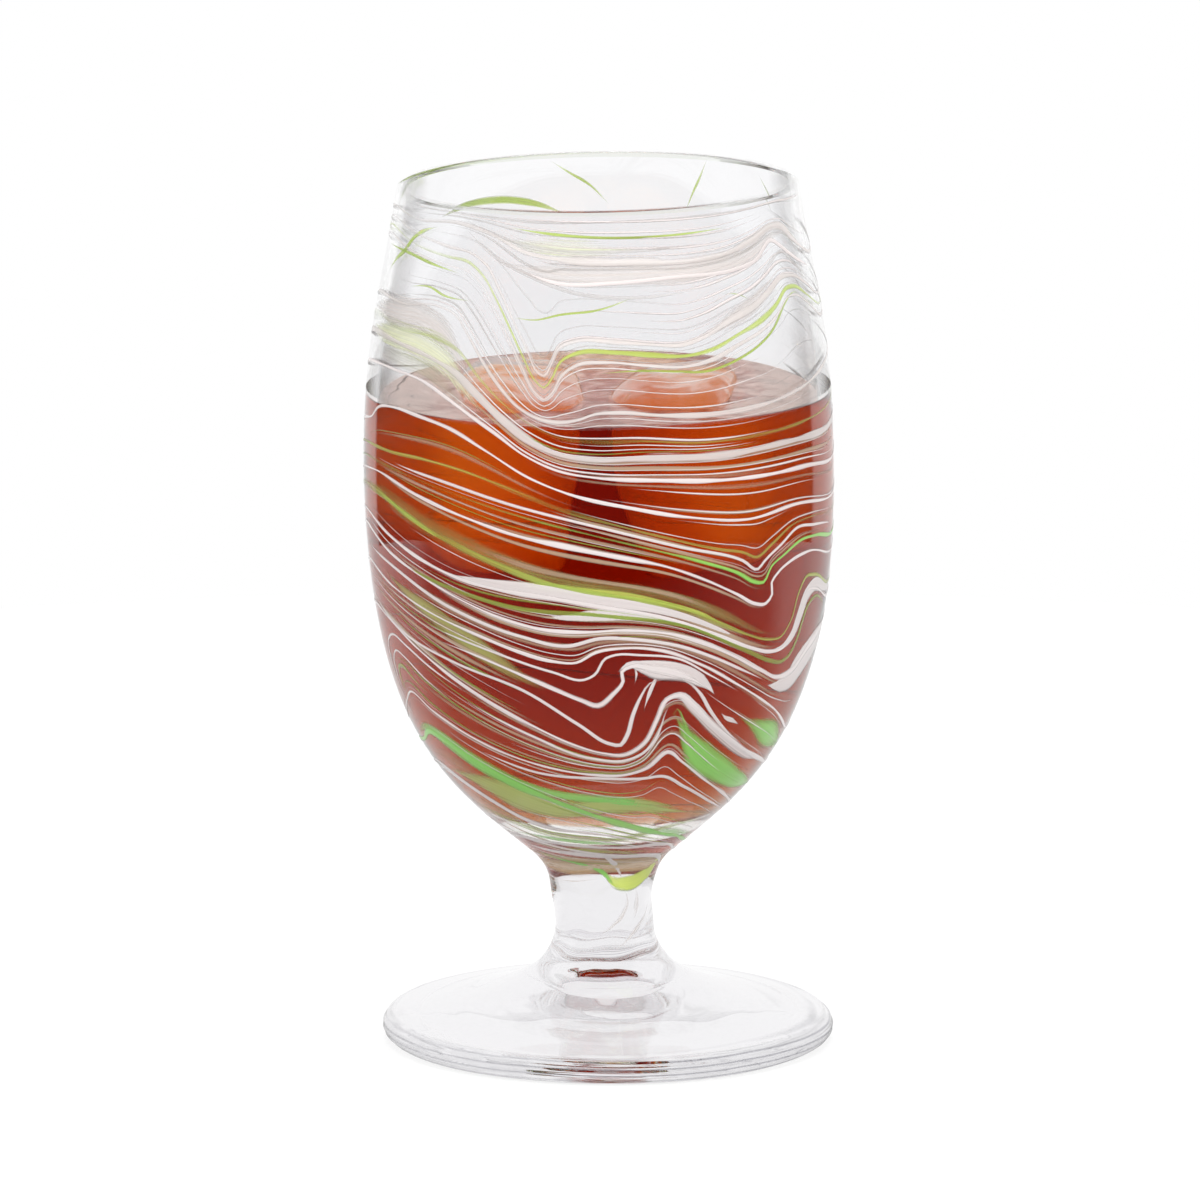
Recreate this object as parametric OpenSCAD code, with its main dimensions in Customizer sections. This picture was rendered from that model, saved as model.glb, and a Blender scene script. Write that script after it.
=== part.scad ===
// Hand-blown water goblet: a deep clear bowl on a short solid stem and a wide round foot.
// Threads of opal white and lime green glass are wound round the hot bowl, combed into folds
// and left standing slightly proud of the wall.
// Millimetres, +Z up, origin on the table under the middle of the foot, front towards -Y.

/* [Bowl] */
// Diameter of the bowl at its widest ring, outside
bowl_d = 89; // [80:0.5:98]
// Diameter of the rim, outside
rim_d = 76; // [66:0.5:84]
// Height of the bowl from its seat on the stem to the rim
bowl_h = 129; // [116:1:142]
// Height of the widest ring above the seat
belly_h = 74; // [66:1:82]
// Thickness of the wall at the widest ring
wall_t = 2.4; // [1.6:0.1:3.2]
// Thickness of the fire-polished rim
rim_t = 2; // [1.4:0.1:2.6]
// Thickness of the solid glass under the cavity
floor_t = 7; // [5:0.5:10]

/* [Stem] */
// Diameter of the stem at its waist
waist_d = 18.7; // [14:0.1:22]
// Diameter of the seat that carries the bowl
seat_d = 26; // [24:0.5:30]
// Diameter of the flare that stands on the foot
flare_d = 31; // [26:0.5:36]
// Height of the stem from the foot to the bowl
stem_h = 23.6; // [21:0.2:40]
// Height of the waist above the foot
waist_h = 10; // [8:0.5:12]

/* [Foot] */
// Diameter of the foot
foot_d = 86; // [78:1:96]
// Height of the foot at its middle
foot_h = 12.4; // [11:0.2:15]
// Thickness of the rounded edge of the foot
edge_t = 5; // [3.5:0.1:6]
// Width of the flat ring that the goblet stands on
ring_w = 5; // [3:0.5:8]
// Rise of the hollow under the foot, up to where its dome begins
hollow_h = 6.5; // [4:0.1:7.5]
// Diameter of the dome that is pushed up under the stem
dome_d = 20; // [14:0.5:22]
// Thickness of the foot over the top of the dome
dome_t = 0.6; // [0.4:0.1:2]

/* [Trails] */
// How far a trail stands proud of its seat on the wall
trail_t = 0.5; // [0.3:0.05:0.8]
// Seat gap between a trail and the wall
trail_gap = 0.1; // [0.06:0.01:0.2]
// Width of a trail, as a percentage of the widths listed for it
trail_w = 100; // [60:5:110]

/* [Hidden] */
$fn = 96;
// Points on each curve of a profile
curve_n = 14;
// Sections of a trail: the fewest between two of its points, and the longest step between two of them
fewest_steps = 2;
step_mm = 6;

seat_z = foot_h + stem_h;
rim_z = seat_z + bowl_h;

// Handles of the profile curves: how far each curve runs straight before it bends, and its angle
seat_pull = 19;
seat_angle = 49;
belly_pull = 52;
shoulder_pull = 28;
rim_pull = 16;
rim_angle = 7;
cavity_pull = 50;
cavity_floor_r = 24;
neck_pull = 4;
neck_angle = 47;
waist_pull = 7;
flare_pull = 5;
flare_angle = 60;
flare_waist_pull = 4;
foot_pull = 6;
edge_pull = 12;
edge_angle = 80;
hollow_pull = 7.9;
hollow_angle = 72;
roof_pull = 7.6;
roof_angle = 67;
dome_pull = 4.2;
dome_angle = 19;

function bezier(a, b, c, d) = [
    for (i = [0 : curve_n])
    let (t = i / curve_n, s = 1 - t)
    s * s * s * a + 3 * s * s * t * b + 3 * s * t * t * c + t * t * t * d
];
function lean_by(angle, length) = length * [sin(angle), cos(angle)];
function tail(points) = [for (i = [1 : len(points) - 1]) points[i]];
function arc(centre, r, from, to) = [
    for (i = [0 : curve_n])
    let (a = from + (to - from) * i / curve_n)
    centre + r * [cos(a), sin(a)]
];

// Stem, from the foot up to the seat of the bowl
flare = [flare_d / 2, foot_h];
waist = [waist_d / 2, foot_h + waist_h];
seat = [seat_d / 2, seat_z];
stem_side = concat(
    bezier(flare, flare + lean_by(-flare_angle, flare_pull), waist - [0, flare_waist_pull], waist),
    tail(bezier(waist, waist + [0, waist_pull], seat - lean_by(neck_angle, neck_pull), seat))
);

// Bowl outside, from the seat up to the rim
belly = [bowl_d / 2, seat_z + belly_h];
lip = [rim_d / 2, rim_z - rim_t / 2];
bowl_side = concat(
    bezier(seat, seat + lean_by(seat_angle, seat_pull), belly - [0, belly_pull], belly),
    tail(bezier(belly, belly + [0, shoulder_pull], lip - lean_by(-rim_angle, rim_pull), lip))
);

// Bowl inside, from the rim down to the middle of the cavity floor
belly_in = belly - [wall_t, 0];
lip_in = lip - [rim_t, 0];
floor_in = [0, seat_z + floor_t];
bowl_inside = concat(
    bezier(lip_in, lip_in - lean_by(-rim_angle, rim_pull), belly_in + [0, shoulder_pull], belly_in),
    tail(bezier(belly_in, belly_in - [0, cavity_pull], floor_in + [cavity_floor_r, 0], floor_in))
);

// Foot, from the stem out over the rounded edge and back under to the top of the dome
edge = [foot_d / 2 - edge_t / 2, edge_t];
foot_top = bezier(
    flare,
    flare + lean_by(180 - flare_angle, foot_pull),
    edge + lean_by(-edge_angle, edge_pull),
    edge
);
foot_edge = arc(edge - [0, edge_t / 2], edge_t / 2, 90, -90);
ring_in = [edge.x - ring_w, 0];
dome_edge = [dome_d / 2, hollow_h];
dome_top = [0, foot_h - dome_t];
foot_under = concat(
    bezier(
        ring_in,
        ring_in + lean_by(-hollow_angle, hollow_pull),
        dome_edge + lean_by(180 - roof_angle, roof_pull),
        dome_edge
    ),
    tail(bezier(
        dome_edge,
        dome_edge + lean_by(-dome_angle, dome_pull),
        [dome_edge.x / 2, dome_top.y],
        dome_top
    ))
);

// Outside wall that the trails lie on, as height and radius
wall = [for (p = concat(stem_side, tail(bowl_side))) [p.y, p.x]];
probe = 0.5;
function wall_r(z) = lookup(z, wall);
function wall_slope(z) = (wall_r(z + probe) - wall_r(z - probe)) / (2 * probe);
function wall_run(z) = norm([1, wall_slope(z)]);
function share_z(share) = seat_z + bowl_h * share / 100;
function on_wall(angle, z, lift) =
    let (r = wall_r(z) + lift / wall_run(z))
    [r * sin(angle), -r * cos(angle), z - lift * wall_slope(z) / wall_run(z)];

// Trails: each point is an angle round the bowl, 0 at the front and growing to the right,
// a height in percent of the bowl from its seat to its rim, and the width of the trail there.
// An arc trail lists its front and thins out on each side of the back. A ring trail lists its front
// and closes round the back. A strand ends where its list ends.
white_arcs = [
    [[-80, 97.5, 0.8], [-60, 97, 1], [-40, 97.4, 1.2], [-30, 96.2, 1.4], [-20, 94, 1.6],
     [-8, 93, 1.8], [10, 92.6, 2], [25, 92.3, 2], [38, 92.8, 2], [48, 94, 2], [57, 95.3, 2],
     [62, 95, 1.8], [68, 92.8, 1.6], [80, 90, 1.4]],
    [[-80, 96, 0.8], [-60, 94.9, 0.8], [-45, 93.9, 0.8], [-36, 93.2, 0.8], [-31, 91.6, 0.8],
     [-27, 88.6, 0.8], [-22, 84, 0.8], [-18, 80, 0.8], [-15, 77, 0.9], [-13.5, 76.6, 0.9],
     [-12, 78, 0.9], [-10, 80.6, 1], [-6, 81.6, 1], [4, 81.5, 1.2], [14, 80.9, 1.2],
     [21, 80.6, 1.4], [28, 81.5, 1.6], [36, 83.4, 1.8], [45, 84.9, 1.8], [51, 86.4, 1.6],
     [57, 88, 1.4], [64, 87.8, 1.2], [72, 86, 1], [80, 84, 1]],
    [[-80, 93.4, 0.7], [-60, 92.1, 0.7], [-45, 91.2, 0.7], [-37, 90.6, 0.7], [-32, 88.8, 0.7],
     [-28, 86, 0.7], [-23, 81.5, 0.7], [-19, 77.4, 0.7], [-15.5, 74, 0.8], [-13.4, 73.2, 0.9],
     [-11.4, 74.2, 0.9], [-9, 76.8, 0.9], [-5, 78.3, 1], [2, 78.6, 1], [12, 78, 1], [22, 77.5, 1],
     [30, 78.2, 1], [38, 79.8, 1], [47, 81.4, 0.9], [54, 83.2, 0.9], [59, 85, 0.9], [64, 85, 0.9],
     [71, 83.2, 0.8], [80, 80.8, 0.8]],
    [[-80, 84.8, 1], [-60, 84.6, 1], [-46, 85.2, 1], [-40, 84.4, 1], [-35, 81.6, 1], [-30, 78, 1],
     [-25, 74.7, 1], [-20, 72, 1], [-15, 70.5, 1], [-10, 70, 1], [-5, 70.4, 1], [-1, 71.2, 1.1],
     [5, 71.4, 1.2], [15, 70.8, 1.2], [28, 70.4, 1.2], [42, 70.7, 1.2], [54, 71.5, 1.2],
     [66, 72.6, 1], [80, 74.2, 1]],
    [[-80, 79.2, 1.4], [-60, 78.8, 1.5], [-46, 77.6, 1.6], [-38, 76, 1.8], [-31, 73.2, 1.9],
     [-24, 70, 2], [-17, 67.2, 2], [-10, 65.4, 2], [-2, 64.7, 2], [12, 64.7, 2], [30, 64.4, 2],
     [50, 64.8, 1.8], [80, 65, 1.6]],
];
white_rings = [
    [[-80, 74.6, 0.8], [-62, 74.9, 0.9], [-48, 74, 0.9], [-40, 72.2, 0.9], [-33, 70.2, 0.9],
     [-26, 68, 0.9], [-18, 65, 0.9], [-10, 63, 0.9], [0, 62, 0.9], [15, 61.4, 1], [30, 60.8, 1.2],
     [45, 60.6, 1.2], [60, 60.6, 1.1], [80, 59.8, 1]],
    [[-80, 66.2, 0.8], [-75, 66.8, 0.8], [-70, 68.6, 0.9], [-62, 69.4, 0.9], [-50, 69, 0.9],
     [-39, 67.9, 0.9], [-28, 65.2, 0.8], [-17, 61.8, 0.8], [-6, 59.4, 0.8], [8, 57.5, 0.9],
     [22, 55.8, 0.9], [38, 54.6, 0.9], [54, 55.4, 0.9], [80, 54.4, 0.8]],
    [[-80, 58.8, 0.7], [-68, 59.2, 0.7], [-50, 57.4, 0.8], [-34, 55.2, 0.9], [-20, 53.2, 1.2],
     [-8, 51.9, 1.4], [4, 50.5, 1.2], [16, 48.8, 1], [27, 46.2, 0.9], [36, 43.6, 0.9],
     [42, 41.8, 0.8], [45.5, 41.6, 0.8], [47.5, 42.8, 0.8], [47, 44.6, 0.8], [49, 45.8, 0.8],
     [55, 47.3, 0.8], [62, 47.8, 0.8], [80, 46, 0.8]],
    [[-80, 52.6, 0.9], [-62, 50.2, 0.9], [-48, 47.8, 1], [-36, 46, 1.2], [-25, 45, 1.4],
     [-12, 44.2, 1.5], [0, 43.1, 1.5], [12, 41.8, 1.4], [22, 40, 1.2], [32, 37.6, 1], [42, 35.2, 1],
     [50, 34, 1], [55, 34.2, 1], [58.5, 36, 1], [61, 39.6, 1.2], [64, 41.8, 1.2], [69, 41.6, 1.2],
     [80, 39.4, 1]],
    [[-80, 50.4, 0.8], [-62, 47.6, 0.8], [-48, 45.2, 0.8], [-36, 42.8, 0.8], [-24, 40.6, 0.9],
     [-14, 39.4, 1], [-5, 39.2, 1], [6, 39.5, 1], [17, 38.8, 1.1], [27, 36.9, 1.2], [37, 34.3, 1.2],
     [47, 31.4, 1.4], [55, 29.6, 2], [62, 30, 2.8], [69, 32.4, 3], [80, 34.6, 2]],
    [[-80, 45, 0.7], [-62, 42.6, 0.7], [-46, 40, 0.7], [-32, 37.8, 0.8], [-21, 35.9, 0.9],
     [-12, 34.7, 1], [-6, 34.6, 1], [-1, 36.2, 1], [6, 36.8, 1], [16, 36.2, 0.9], [27, 33.6, 0.8],
     [40, 29.6, 0.8], [56, 25, 0.8], [80, 19.6, 0.7]],
    [[-80, 38.6, 0.8], [-66, 37, 0.8], [-54, 34, 0.9], [-42, 30.6, 1], [-30, 27.3, 1],
     [-18, 24.2, 1], [-8, 21.8, 1], [1, 20.4, 1], [8, 20.2, 1.1], [13, 22, 1.2], [15.8, 25.6, 1.3],
     [18, 28.6, 1.4], [21.5, 29.2, 1.5], [26, 27.4, 1.7], [32, 24.6, 1.8], [40, 21.6, 1.7],
     [50, 18.8, 1.5], [64, 16.2, 1.2], [80, 14.4, 1]],
    [[-80, 21.6, 0.7], [-70, 24.8, 0.7], [-64, 26.6, 0.8], [-54, 24.4, 0.8], [-42, 21.8, 0.8],
     [-30, 19.6, 0.8], [-16, 17.8, 0.9], [-2, 16.8, 0.9], [9, 16.8, 0.9], [15, 17.8, 1],
     [20.5, 20.2, 1.2], [26, 18.4, 1.1], [36, 15.2, 1], [48, 12.4, 0.9], [62, 10, 0.8],
     [80, 8, 0.7]],
    [[-80, 14.4, 1], [-68, 14.2, 1], [-54, 12, 1.1], [-42, 9.4, 1.1], [-30, 7.4, 1.1],
     [-16, 6.6, 1.1], [0, 6, 1], [20, 4.6, 0.9], [45, 3, 0.8], [80, 1, 0.8]],
];
green_arcs = [
    [[-80, 94.7, 0.8], [-60, 93.4, 0.8], [-45, 92.5, 0.8], [-37, 92, 0.8], [-32, 90.2, 0.8],
     [-28, 87.4, 0.8], [-23, 83, 0.8], [-19, 79, 0.8], [-15.5, 75.7, 0.8], [-13.5, 74.9, 0.9],
     [-11.8, 76, 0.9], [-9.4, 78.7, 0.9], [-5, 80, 1], [4, 80, 1.1], [14, 79.4, 1.2], [22, 79, 1.3],
     [30, 79.6, 1.3], [38, 81.2, 1.3], [47, 82.8, 1.3], [54, 84.6, 1.2], [59, 86.3, 1.1],
     [64, 86.3, 1], [71, 84.5, 0.9], [80, 82.4, 0.9]],
    [[-80, 81.8, 2], [-60, 81.2, 2.2], [-45, 80.8, 2], [-38, 79.4, 1.6], [-31, 75.8, 1.2],
     [-24, 72.4, 1], [-17, 69.6, 0.9], [-10, 67.8, 0.9], [-2, 67.2, 1], [10, 67.2, 1],
     [25, 66.5, 0.9], [45, 66.7, 0.9], [62, 67.2, 0.8], [80, 68, 0.8]],
];
green_rings = [
    [[-80, 62.6, 0.9], [-60, 62.8, 1], [-46, 62.8, 1.1], [-34, 61.9, 1.1], [-22, 60, 1.1],
     [-10, 57.5, 1], [4, 55.1, 0.9], [18, 52.7, 0.9], [30, 50.7, 0.9], [37, 49.8, 0.9],
     [41.5, 48.8, 1], [46, 50.2, 0.9], [54, 52.4, 0.8], [64, 52.8, 0.8], [80, 52.2, 0.8]],
    [[-80, 60.6, 0.6], [-60, 60.4, 0.6], [-40, 58.8, 0.6], [-20, 56.2, 0.6], [-4, 54, 0.7],
     [12, 51.5, 0.8], [26, 49, 0.9], [36, 46.8, 1], [41, 45.2, 1.1], [44, 44.9, 1.1], [46.5, 47, 1],
     [51, 48.3, 1], [58, 49.8, 1], [66, 49.8, 1], [80, 48.6, 0.9]],
    [[-80, 56.4, 1.6], [-66, 56, 1.8], [-54, 54.2, 1.8], [-40, 51.6, 1.8], [-26, 48.8, 1.7],
     [-14, 46.6, 1.6], [-2, 45.2, 1.5], [10, 44, 1.4], [20, 42.4, 1.3], [30, 39.9, 1.2],
     [40, 37.4, 1.1], [48, 36, 1], [53, 36, 1], [56.5, 38, 1], [59, 42, 1], [62, 44, 1],
     [67, 43.9, 1], [80, 41.4, 1]],
    [[-80, 17.8, 1.2], [-70, 18.8, 1.6], [-62, 20.6, 2.2], [-54, 19.8, 2.8], [-44, 17.4, 3],
     [-32, 14.8, 3], [-18, 12.2, 2.8], [-4, 9.8, 2.6], [10, 7.8, 2.4], [26, 6, 2], [44, 4.6, 1.5],
     [80, 2.6, 1]],
];
white_strands = [
    [[-46, 36.2, 0.5], [-34, 34.8, 0.8], [-22, 32.6, 1], [-12, 30.4, 1.1], [-5, 28.8, 1.2],
     [-0.5, 28, 1.3], [3.5, 29.8, 1.2], [6, 31.8, 1.1], [5.6, 33.2, 1.1], [8, 34, 1.6],
     [13, 33.6, 3], [19, 32.8, 3], [25, 31.4, 2], [32, 28.8, 0.6]],
    [[1, 1.6, 0.7], [6, 1, 0.9], [11, 0, 1], [16, -1.2, 1], [21, -2.4, 0.6]],
];
green_strands = [
    [[20, 25.4, 1], [21.4, 27, 1.4], [23.4, 25.4, 2], [26.4, 22.6, 3.2], [31, 20, 3.8],
     [38, 17.4, 3.6], [47, 15.2, 2.8], [58, 13.2, 2], [72, 11.2, 0.8]],
    [[44, 24.2, 0.5], [50, 22.8, 2.2], [56, 21.2, 3.2], [63, 19.6, 3], [72, 17.6, 2],
     [84, 15.6, 0.5]],
    [[-52, 1.6, 0.6], [-36, 0.6, 1.1], [-20, 0, 1.4], [-8, -0.6, 1.4], [2, -1.6, 1.4], [9, -3, 1.5],
     [18, -4.4, 1.8], [30, -4.8, 2], [44, -4, 1.8], [58, -2.6, 0.6]],
];

// Back of an arc or ring trail: a climb from its right end to its left end with one shallow wave
front_end = 80;
back_wave = 2;
back_angles = [for (a = [105 : 25 : 255]) a];
function back_point(front, angle) =
    let (
        right = front[len(front) - 1],
        left = front[0],
        t = ((angle + 360) % 360 - front_end) / (360 - 2 * front_end),
        climb = right + (left - right) * t
    )
    [angle, climb[1] + back_wave * sin(360 * t), climb[2]];

// Seam of a ring trail, where its two thin ends stop short of each other, stepped from trail to trail
seam_first = 118;
seam_turn = 38;
seam_span = 124;
seam_half_gap = 1;
seam_room = 6;
function seam(i) = seam_first + (i * seam_turn) % seam_span;
function round_back(front, right_end, left_end) = concat(
    [back_point(front, left_end - 360)],
    [for (a = back_angles) if (a > left_end + seam_room) back_point(front, a - 360)],
    front,
    [for (a = back_angles) if (a < right_end - seam_room) back_point(front, a)],
    [back_point(front, right_end)]
);

// Angle from the front at which an arc trail has thinned out
arc_end = 122;

// Smooth curve through the points of a trail, with each stretch weighed by its length
degree_mm = bowl_d / 2 * PI / 180;
share_mm = bowl_h / 100;
function stretch(p, i) = norm([(p[i + 1][0] - p[i][0]) * degree_mm, (p[i + 1][1] - p[i][1]) * share_mm]);
function drift(p, i) = (p[i + 1] - p[i]) / stretch(p, i);
function heading(p, i) =
    i == 0 ? drift(p, 0) :
    i == len(p) - 1 ? drift(p, i - 1) :
    (drift(p, i - 1) * stretch(p, i) + drift(p, i) * stretch(p, i - 1))
    / (stretch(p, i - 1) + stretch(p, i));
function between(p, i, t) =
    let (s = 1 - t, d = stretch(p, i))
    s * s * (1 + 2 * t) * p[i] + t * t * (3 - 2 * t) * p[i + 1]
    + s * s * t * d * heading(p, i) - t * t * s * d * heading(p, i + 1);
function steps(p, i) = max(fewest_steps, ceil(stretch(p, i) / step_mm));
function smooth(p) = [
    for (i = [0 : len(p) - 2], k = [0 : steps(p, i) - 1]) between(p, i, k / steps(p, i)),
    p[len(p) - 1]
];

// Cross-section of a trail: feet on the wall and a flattened crown, as share of width and of height.
// The feet are lifted by the rise of the round wall between two sections, so the gap stays clear.
trail_section = [[-0.5, 0], [-0.25, 1], [0.25, 1], [0.5, 0]];
end_taper = 0.3;
taper_steps = 3;
wall_rise = step_mm * step_mm / (4 * bowl_d);
function trail_ring(path, i) =
    let (
        last = len(path) - 1,
        here = path[i],
        ahead = path[min(i + 1, last)] - path[max(i - 1, 0)],
        z = share_z(here[1]),
        run = wall_run(z),
        degree = wall_r(z) * PI / 180,
        way = [ahead[0] * degree, ahead[1] * share_mm * run],
        side = [-way.y, way.x] / norm(way),
        drawn = min(i, last - i) / taper_steps,
        taper = min(1, end_taper + (1 - end_taper) * drawn),
        w = here[2] * trail_w / 100 * taper
    )
    [
        for (s = trail_section)
        on_wall(
            here[0] + side.x * s.x * w / degree,
            z + side.y * s.x * w / run,
            trail_gap + wall_rise + s.y * trail_t * taper
        )
    ];

module trail(points) {
    path = smooth(points);
    n = len(trail_section);
    last = len(path) - 1;
    verts = [for (i = [0 : last]) each trail_ring(path, i)];
    sides = [
        for (i = [0 : last - 1], k = [0 : n - 1])
        let (a = i * n + k, b = i * n + (k + 1) % n)
        each [[a, b, b + n], [a, b + n, a + n]]
    ];
    start_cap = [for (k = [1 : n - 2]) [0, k + 1, k]];
    end_cap = [for (k = [1 : n - 2]) [last * n, last * n + k, last * n + k + 1]];
    polyhedron(verts, concat(start_cap, sides, end_cap), convexity = 10);
}

function numbered(name, list) = [for (i = [1 : len(list)]) str(name, "_", i)];
function arcs(fronts) = [for (front = fronts) round_back(front, arc_end, 360 - arc_end)];
function rings(fronts) = [
    for (i = [0 : len(fronts) - 1])
    round_back(fronts[i], seam(i) - seam_half_gap, seam(i) + seam_half_gap)
];
white_trails = concat(arcs(white_arcs), rings(white_rings), white_strands);
green_trails = concat(arcs(green_arcs), rings(green_rings), green_strands);
white_names = numbered("white_trail", white_trails);
green_names = numbered("green_trail", green_trails);

// Blown bowl of clear glass, with a thick floor and a fire-polished rim
module bowl() {
    rim_round = arc(lip - [rim_t / 2, 0], rim_t / 2, 0, 180);
    color("aliceblue", 0.4)
        rotate_extrude()
            polygon(concat([[0, seat_z]], bowl_side, tail(rim_round), tail(bowl_inside)));
}

// Solid stem, drawn down to a waist between the bowl and the foot
module stem() {
    color("lightcyan", 0.5)
        rotate_extrude()
            polygon(concat([[0, foot_h]], stem_side, [[0, seat_z]]));
}

// Pressed foot with a round edge, hollow underneath, with a dome where the pontil rod held it
module foot() {
    color("azure", 0.5)
        rotate_extrude()
            polygon(concat([[0, foot_h]], foot_top, tail(foot_edge), foot_under));
}

// Thread of opal white glass
module white_trail(i) {
    color("whitesmoke")
        trail(white_trails[i]);
}

// Thread of lime green glass
module green_trail(i) {
    color("yellowgreen")
        trail(green_trails[i]);
}

bowl();
stem();
foot();
for (i = [0 : len(white_trails) - 1])
    white_trail(i);
for (i = [0 : len(green_trails) - 1])
    green_trail(i);
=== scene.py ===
# Hand-blown water goblet with combed white and green trails, standing filled with an iced drink.
# Shapes are worked out in millimetres and become metres as each piece is made.
import math
import random

import bmesh
import bpy
import numpy as np
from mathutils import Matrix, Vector


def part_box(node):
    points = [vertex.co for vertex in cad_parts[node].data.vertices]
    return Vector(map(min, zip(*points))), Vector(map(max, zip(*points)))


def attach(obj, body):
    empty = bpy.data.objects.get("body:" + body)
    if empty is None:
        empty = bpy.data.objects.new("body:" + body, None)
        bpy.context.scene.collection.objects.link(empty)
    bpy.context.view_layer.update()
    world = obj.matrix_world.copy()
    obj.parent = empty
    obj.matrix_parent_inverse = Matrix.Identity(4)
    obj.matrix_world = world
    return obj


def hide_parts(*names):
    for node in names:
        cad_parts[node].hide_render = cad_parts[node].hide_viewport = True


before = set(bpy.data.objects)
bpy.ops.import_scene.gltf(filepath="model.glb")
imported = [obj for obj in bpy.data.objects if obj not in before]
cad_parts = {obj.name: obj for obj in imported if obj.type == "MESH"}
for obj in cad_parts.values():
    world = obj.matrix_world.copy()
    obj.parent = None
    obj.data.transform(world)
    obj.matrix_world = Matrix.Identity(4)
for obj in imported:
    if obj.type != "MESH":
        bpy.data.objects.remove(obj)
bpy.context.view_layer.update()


# Foot
# A gather of clear soda-lime glass, pressed out to a disc on the end of the stem while hot.
# It is hollow underneath, with a dome where the pontil rod held it, and stands on a flat ring.
MM = 0.001
ROUND = 192
CURVE = 28
FOOT_R = 43
FOOT_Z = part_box("foot")[1].z / MM
EDGE_T = 5
ROLLED_W = 4
RING_W = 5
RIDGE_H, RIDGE_MM = 0.1, 1.2
HOLLOW_CURVE = (28, 2.4), (17, 3.6)
DOME_EDGE, DOME_CURVE = (10, 6.5), (8.6, 10.4)
DOME_Z = FOOT_Z - 0.6
FLARE_R = 15.5
FLARE_LEAN = 60
FOOT_ASIDE, ASIDE_FADE = 1.5, 26
TIP_FROM, TIP_OVER = 60, 105
RIM_ASIDE, RIM_TIP = 0.55, 0.016
GLASS_IOR = 1.52
BAND_M = 0.314  # from band to band of a wave texture at scale 1
SKIN, SEAM = 0, 1


def bezier(a, b, c, d, count=CURVE):
    """Points of a cubic curve from a to d, as radius and height."""
    t = np.linspace(0, 1, count + 1)[:, None]
    a, b, c, d = (np.array(p, float) for p in (a, b, c, d))
    return (1 - t) ** 3 * a + 3 * (1 - t) ** 2 * t * b + 3 * (1 - t) * t**2 * c + t**3 * d


def lean(angle, length):
    """A step of that length, leaning out from upright by an angle in degrees."""
    return length * np.array([math.sin(math.radians(angle)), math.cos(math.radians(angle))])


def as_set(points):
    """Points in mm as the hot glass set: the foot sits a little to one side and the rim tips."""
    x, y, z = points.T
    high = np.clip((z - TIP_FROM) / TIP_OVER, 0, 1) ** 2
    aside = x + FOOT_ASIDE * np.exp(-((z / ASIDE_FADE) ** 2)) - RIM_ASIDE * high
    return np.column_stack([aside, y, z + RIM_TIP * x * high])


def lathe(profile, wave):
    """Vertices in mm, and faces, of a profile turned round the axis. A wave adds to the radius."""
    verts, rings, faces = [], [], []
    turn = np.arange(ROUND) * 2 * math.pi / ROUND
    for r, z in profile:
        if r < 1e-6:
            rings.append([len(verts)] * ROUND)
            verts.append((0, 0, z))
            continue
        rings.append(range(len(verts), len(verts) + ROUND))
        radius = r + wave(turn, z)
        verts.extend(zip(radius * np.sin(turn), -radius * np.cos(turn), [z] * ROUND))
    for low, high in zip(rings, rings[1:]):
        for i in range(ROUND):
            j = (i + 1) % ROUND
            faces.append(list(dict.fromkeys([low[i], low[j], high[j], high[i]])))
    return np.array(verts, float), faces


def make_piece(name, verts, faces, materials, face_materials=None):
    """A smooth mesh object from vertices in mm. face_materials picks a material for each face."""
    mesh = bpy.data.meshes.new(name)
    mesh.from_pydata((as_set(np.asarray(verts, float)) * MM).tolist(), [], faces)
    for material in materials:
        mesh.materials.append(material)
    if face_materials is not None:
        mesh.polygons.foreach_set("material_index", face_materials)
    mesh.polygons.foreach_set("use_smooth", [True] * len(faces))
    work = bmesh.new()
    work.from_mesh(mesh)
    bmesh.ops.recalc_face_normals(work, faces=work.faces)
    for edge in work.edges:
        edge.smooth = len({f.material_index for f in edge.link_faces}) == 1
    work.to_mesh(mesh)
    work.free()
    piece = bpy.data.objects.new(name, mesh)
    bpy.context.collection.objects.link(piece)
    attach(piece, "root")
    return piece


def colour(code):
    """Linear colour of an sRGB hex code."""
    parts = [int(code[i : i + 2], 16) / 255 for i in (1, 3, 5)]
    return (*[p / 12.92 if p <= 0.04045 else ((p + 0.055) / 1.055) ** 2.4 for p in parts], 1)


def new_material(name):
    """An empty node material, and its tree."""
    material = bpy.data.materials.new(name)
    material.use_nodes = True
    material.node_tree.nodes.clear()
    return material, material.node_tree


def add_node(tree, kind, inputs=None, **settings):
    """A node with its settings. Each input is a value or the socket that feeds it."""
    node = tree.nodes.new(kind)
    for key, value in settings.items():
        setattr(node, key, value)
    for key, value in (inputs or {}).items():
        if isinstance(value, bpy.types.NodeSocket):
            tree.links.new(value, node.inputs[key])
        else:
            node.inputs[key].default_value = value
    return node


def calc(tree, operation, *values):
    """The outcome of a math node. Each value is a number or a socket."""
    return add_node(tree, "ShaderNodeMath", dict(enumerate(values)), operation=operation).outputs[0]


def ramp(tree, value, first, last, least=0.0, most=1.0, **settings):
    """A socket's value, stretched from the range first to last onto the range least to most."""
    return add_node(tree, "ShaderNodeMapRange", {
        "Value": value, "From Min": first, "From Max": last, "To Min": least, "To Max": most},
        **settings).outputs[0]


def blend(tree, share, one, other):
    """A colour between two others, each of them a colour or the socket of one."""
    return add_node(tree, "ShaderNodeMix", {0: share, 6: one, 7: other}, data_type="RGBA").outputs[2]


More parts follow.
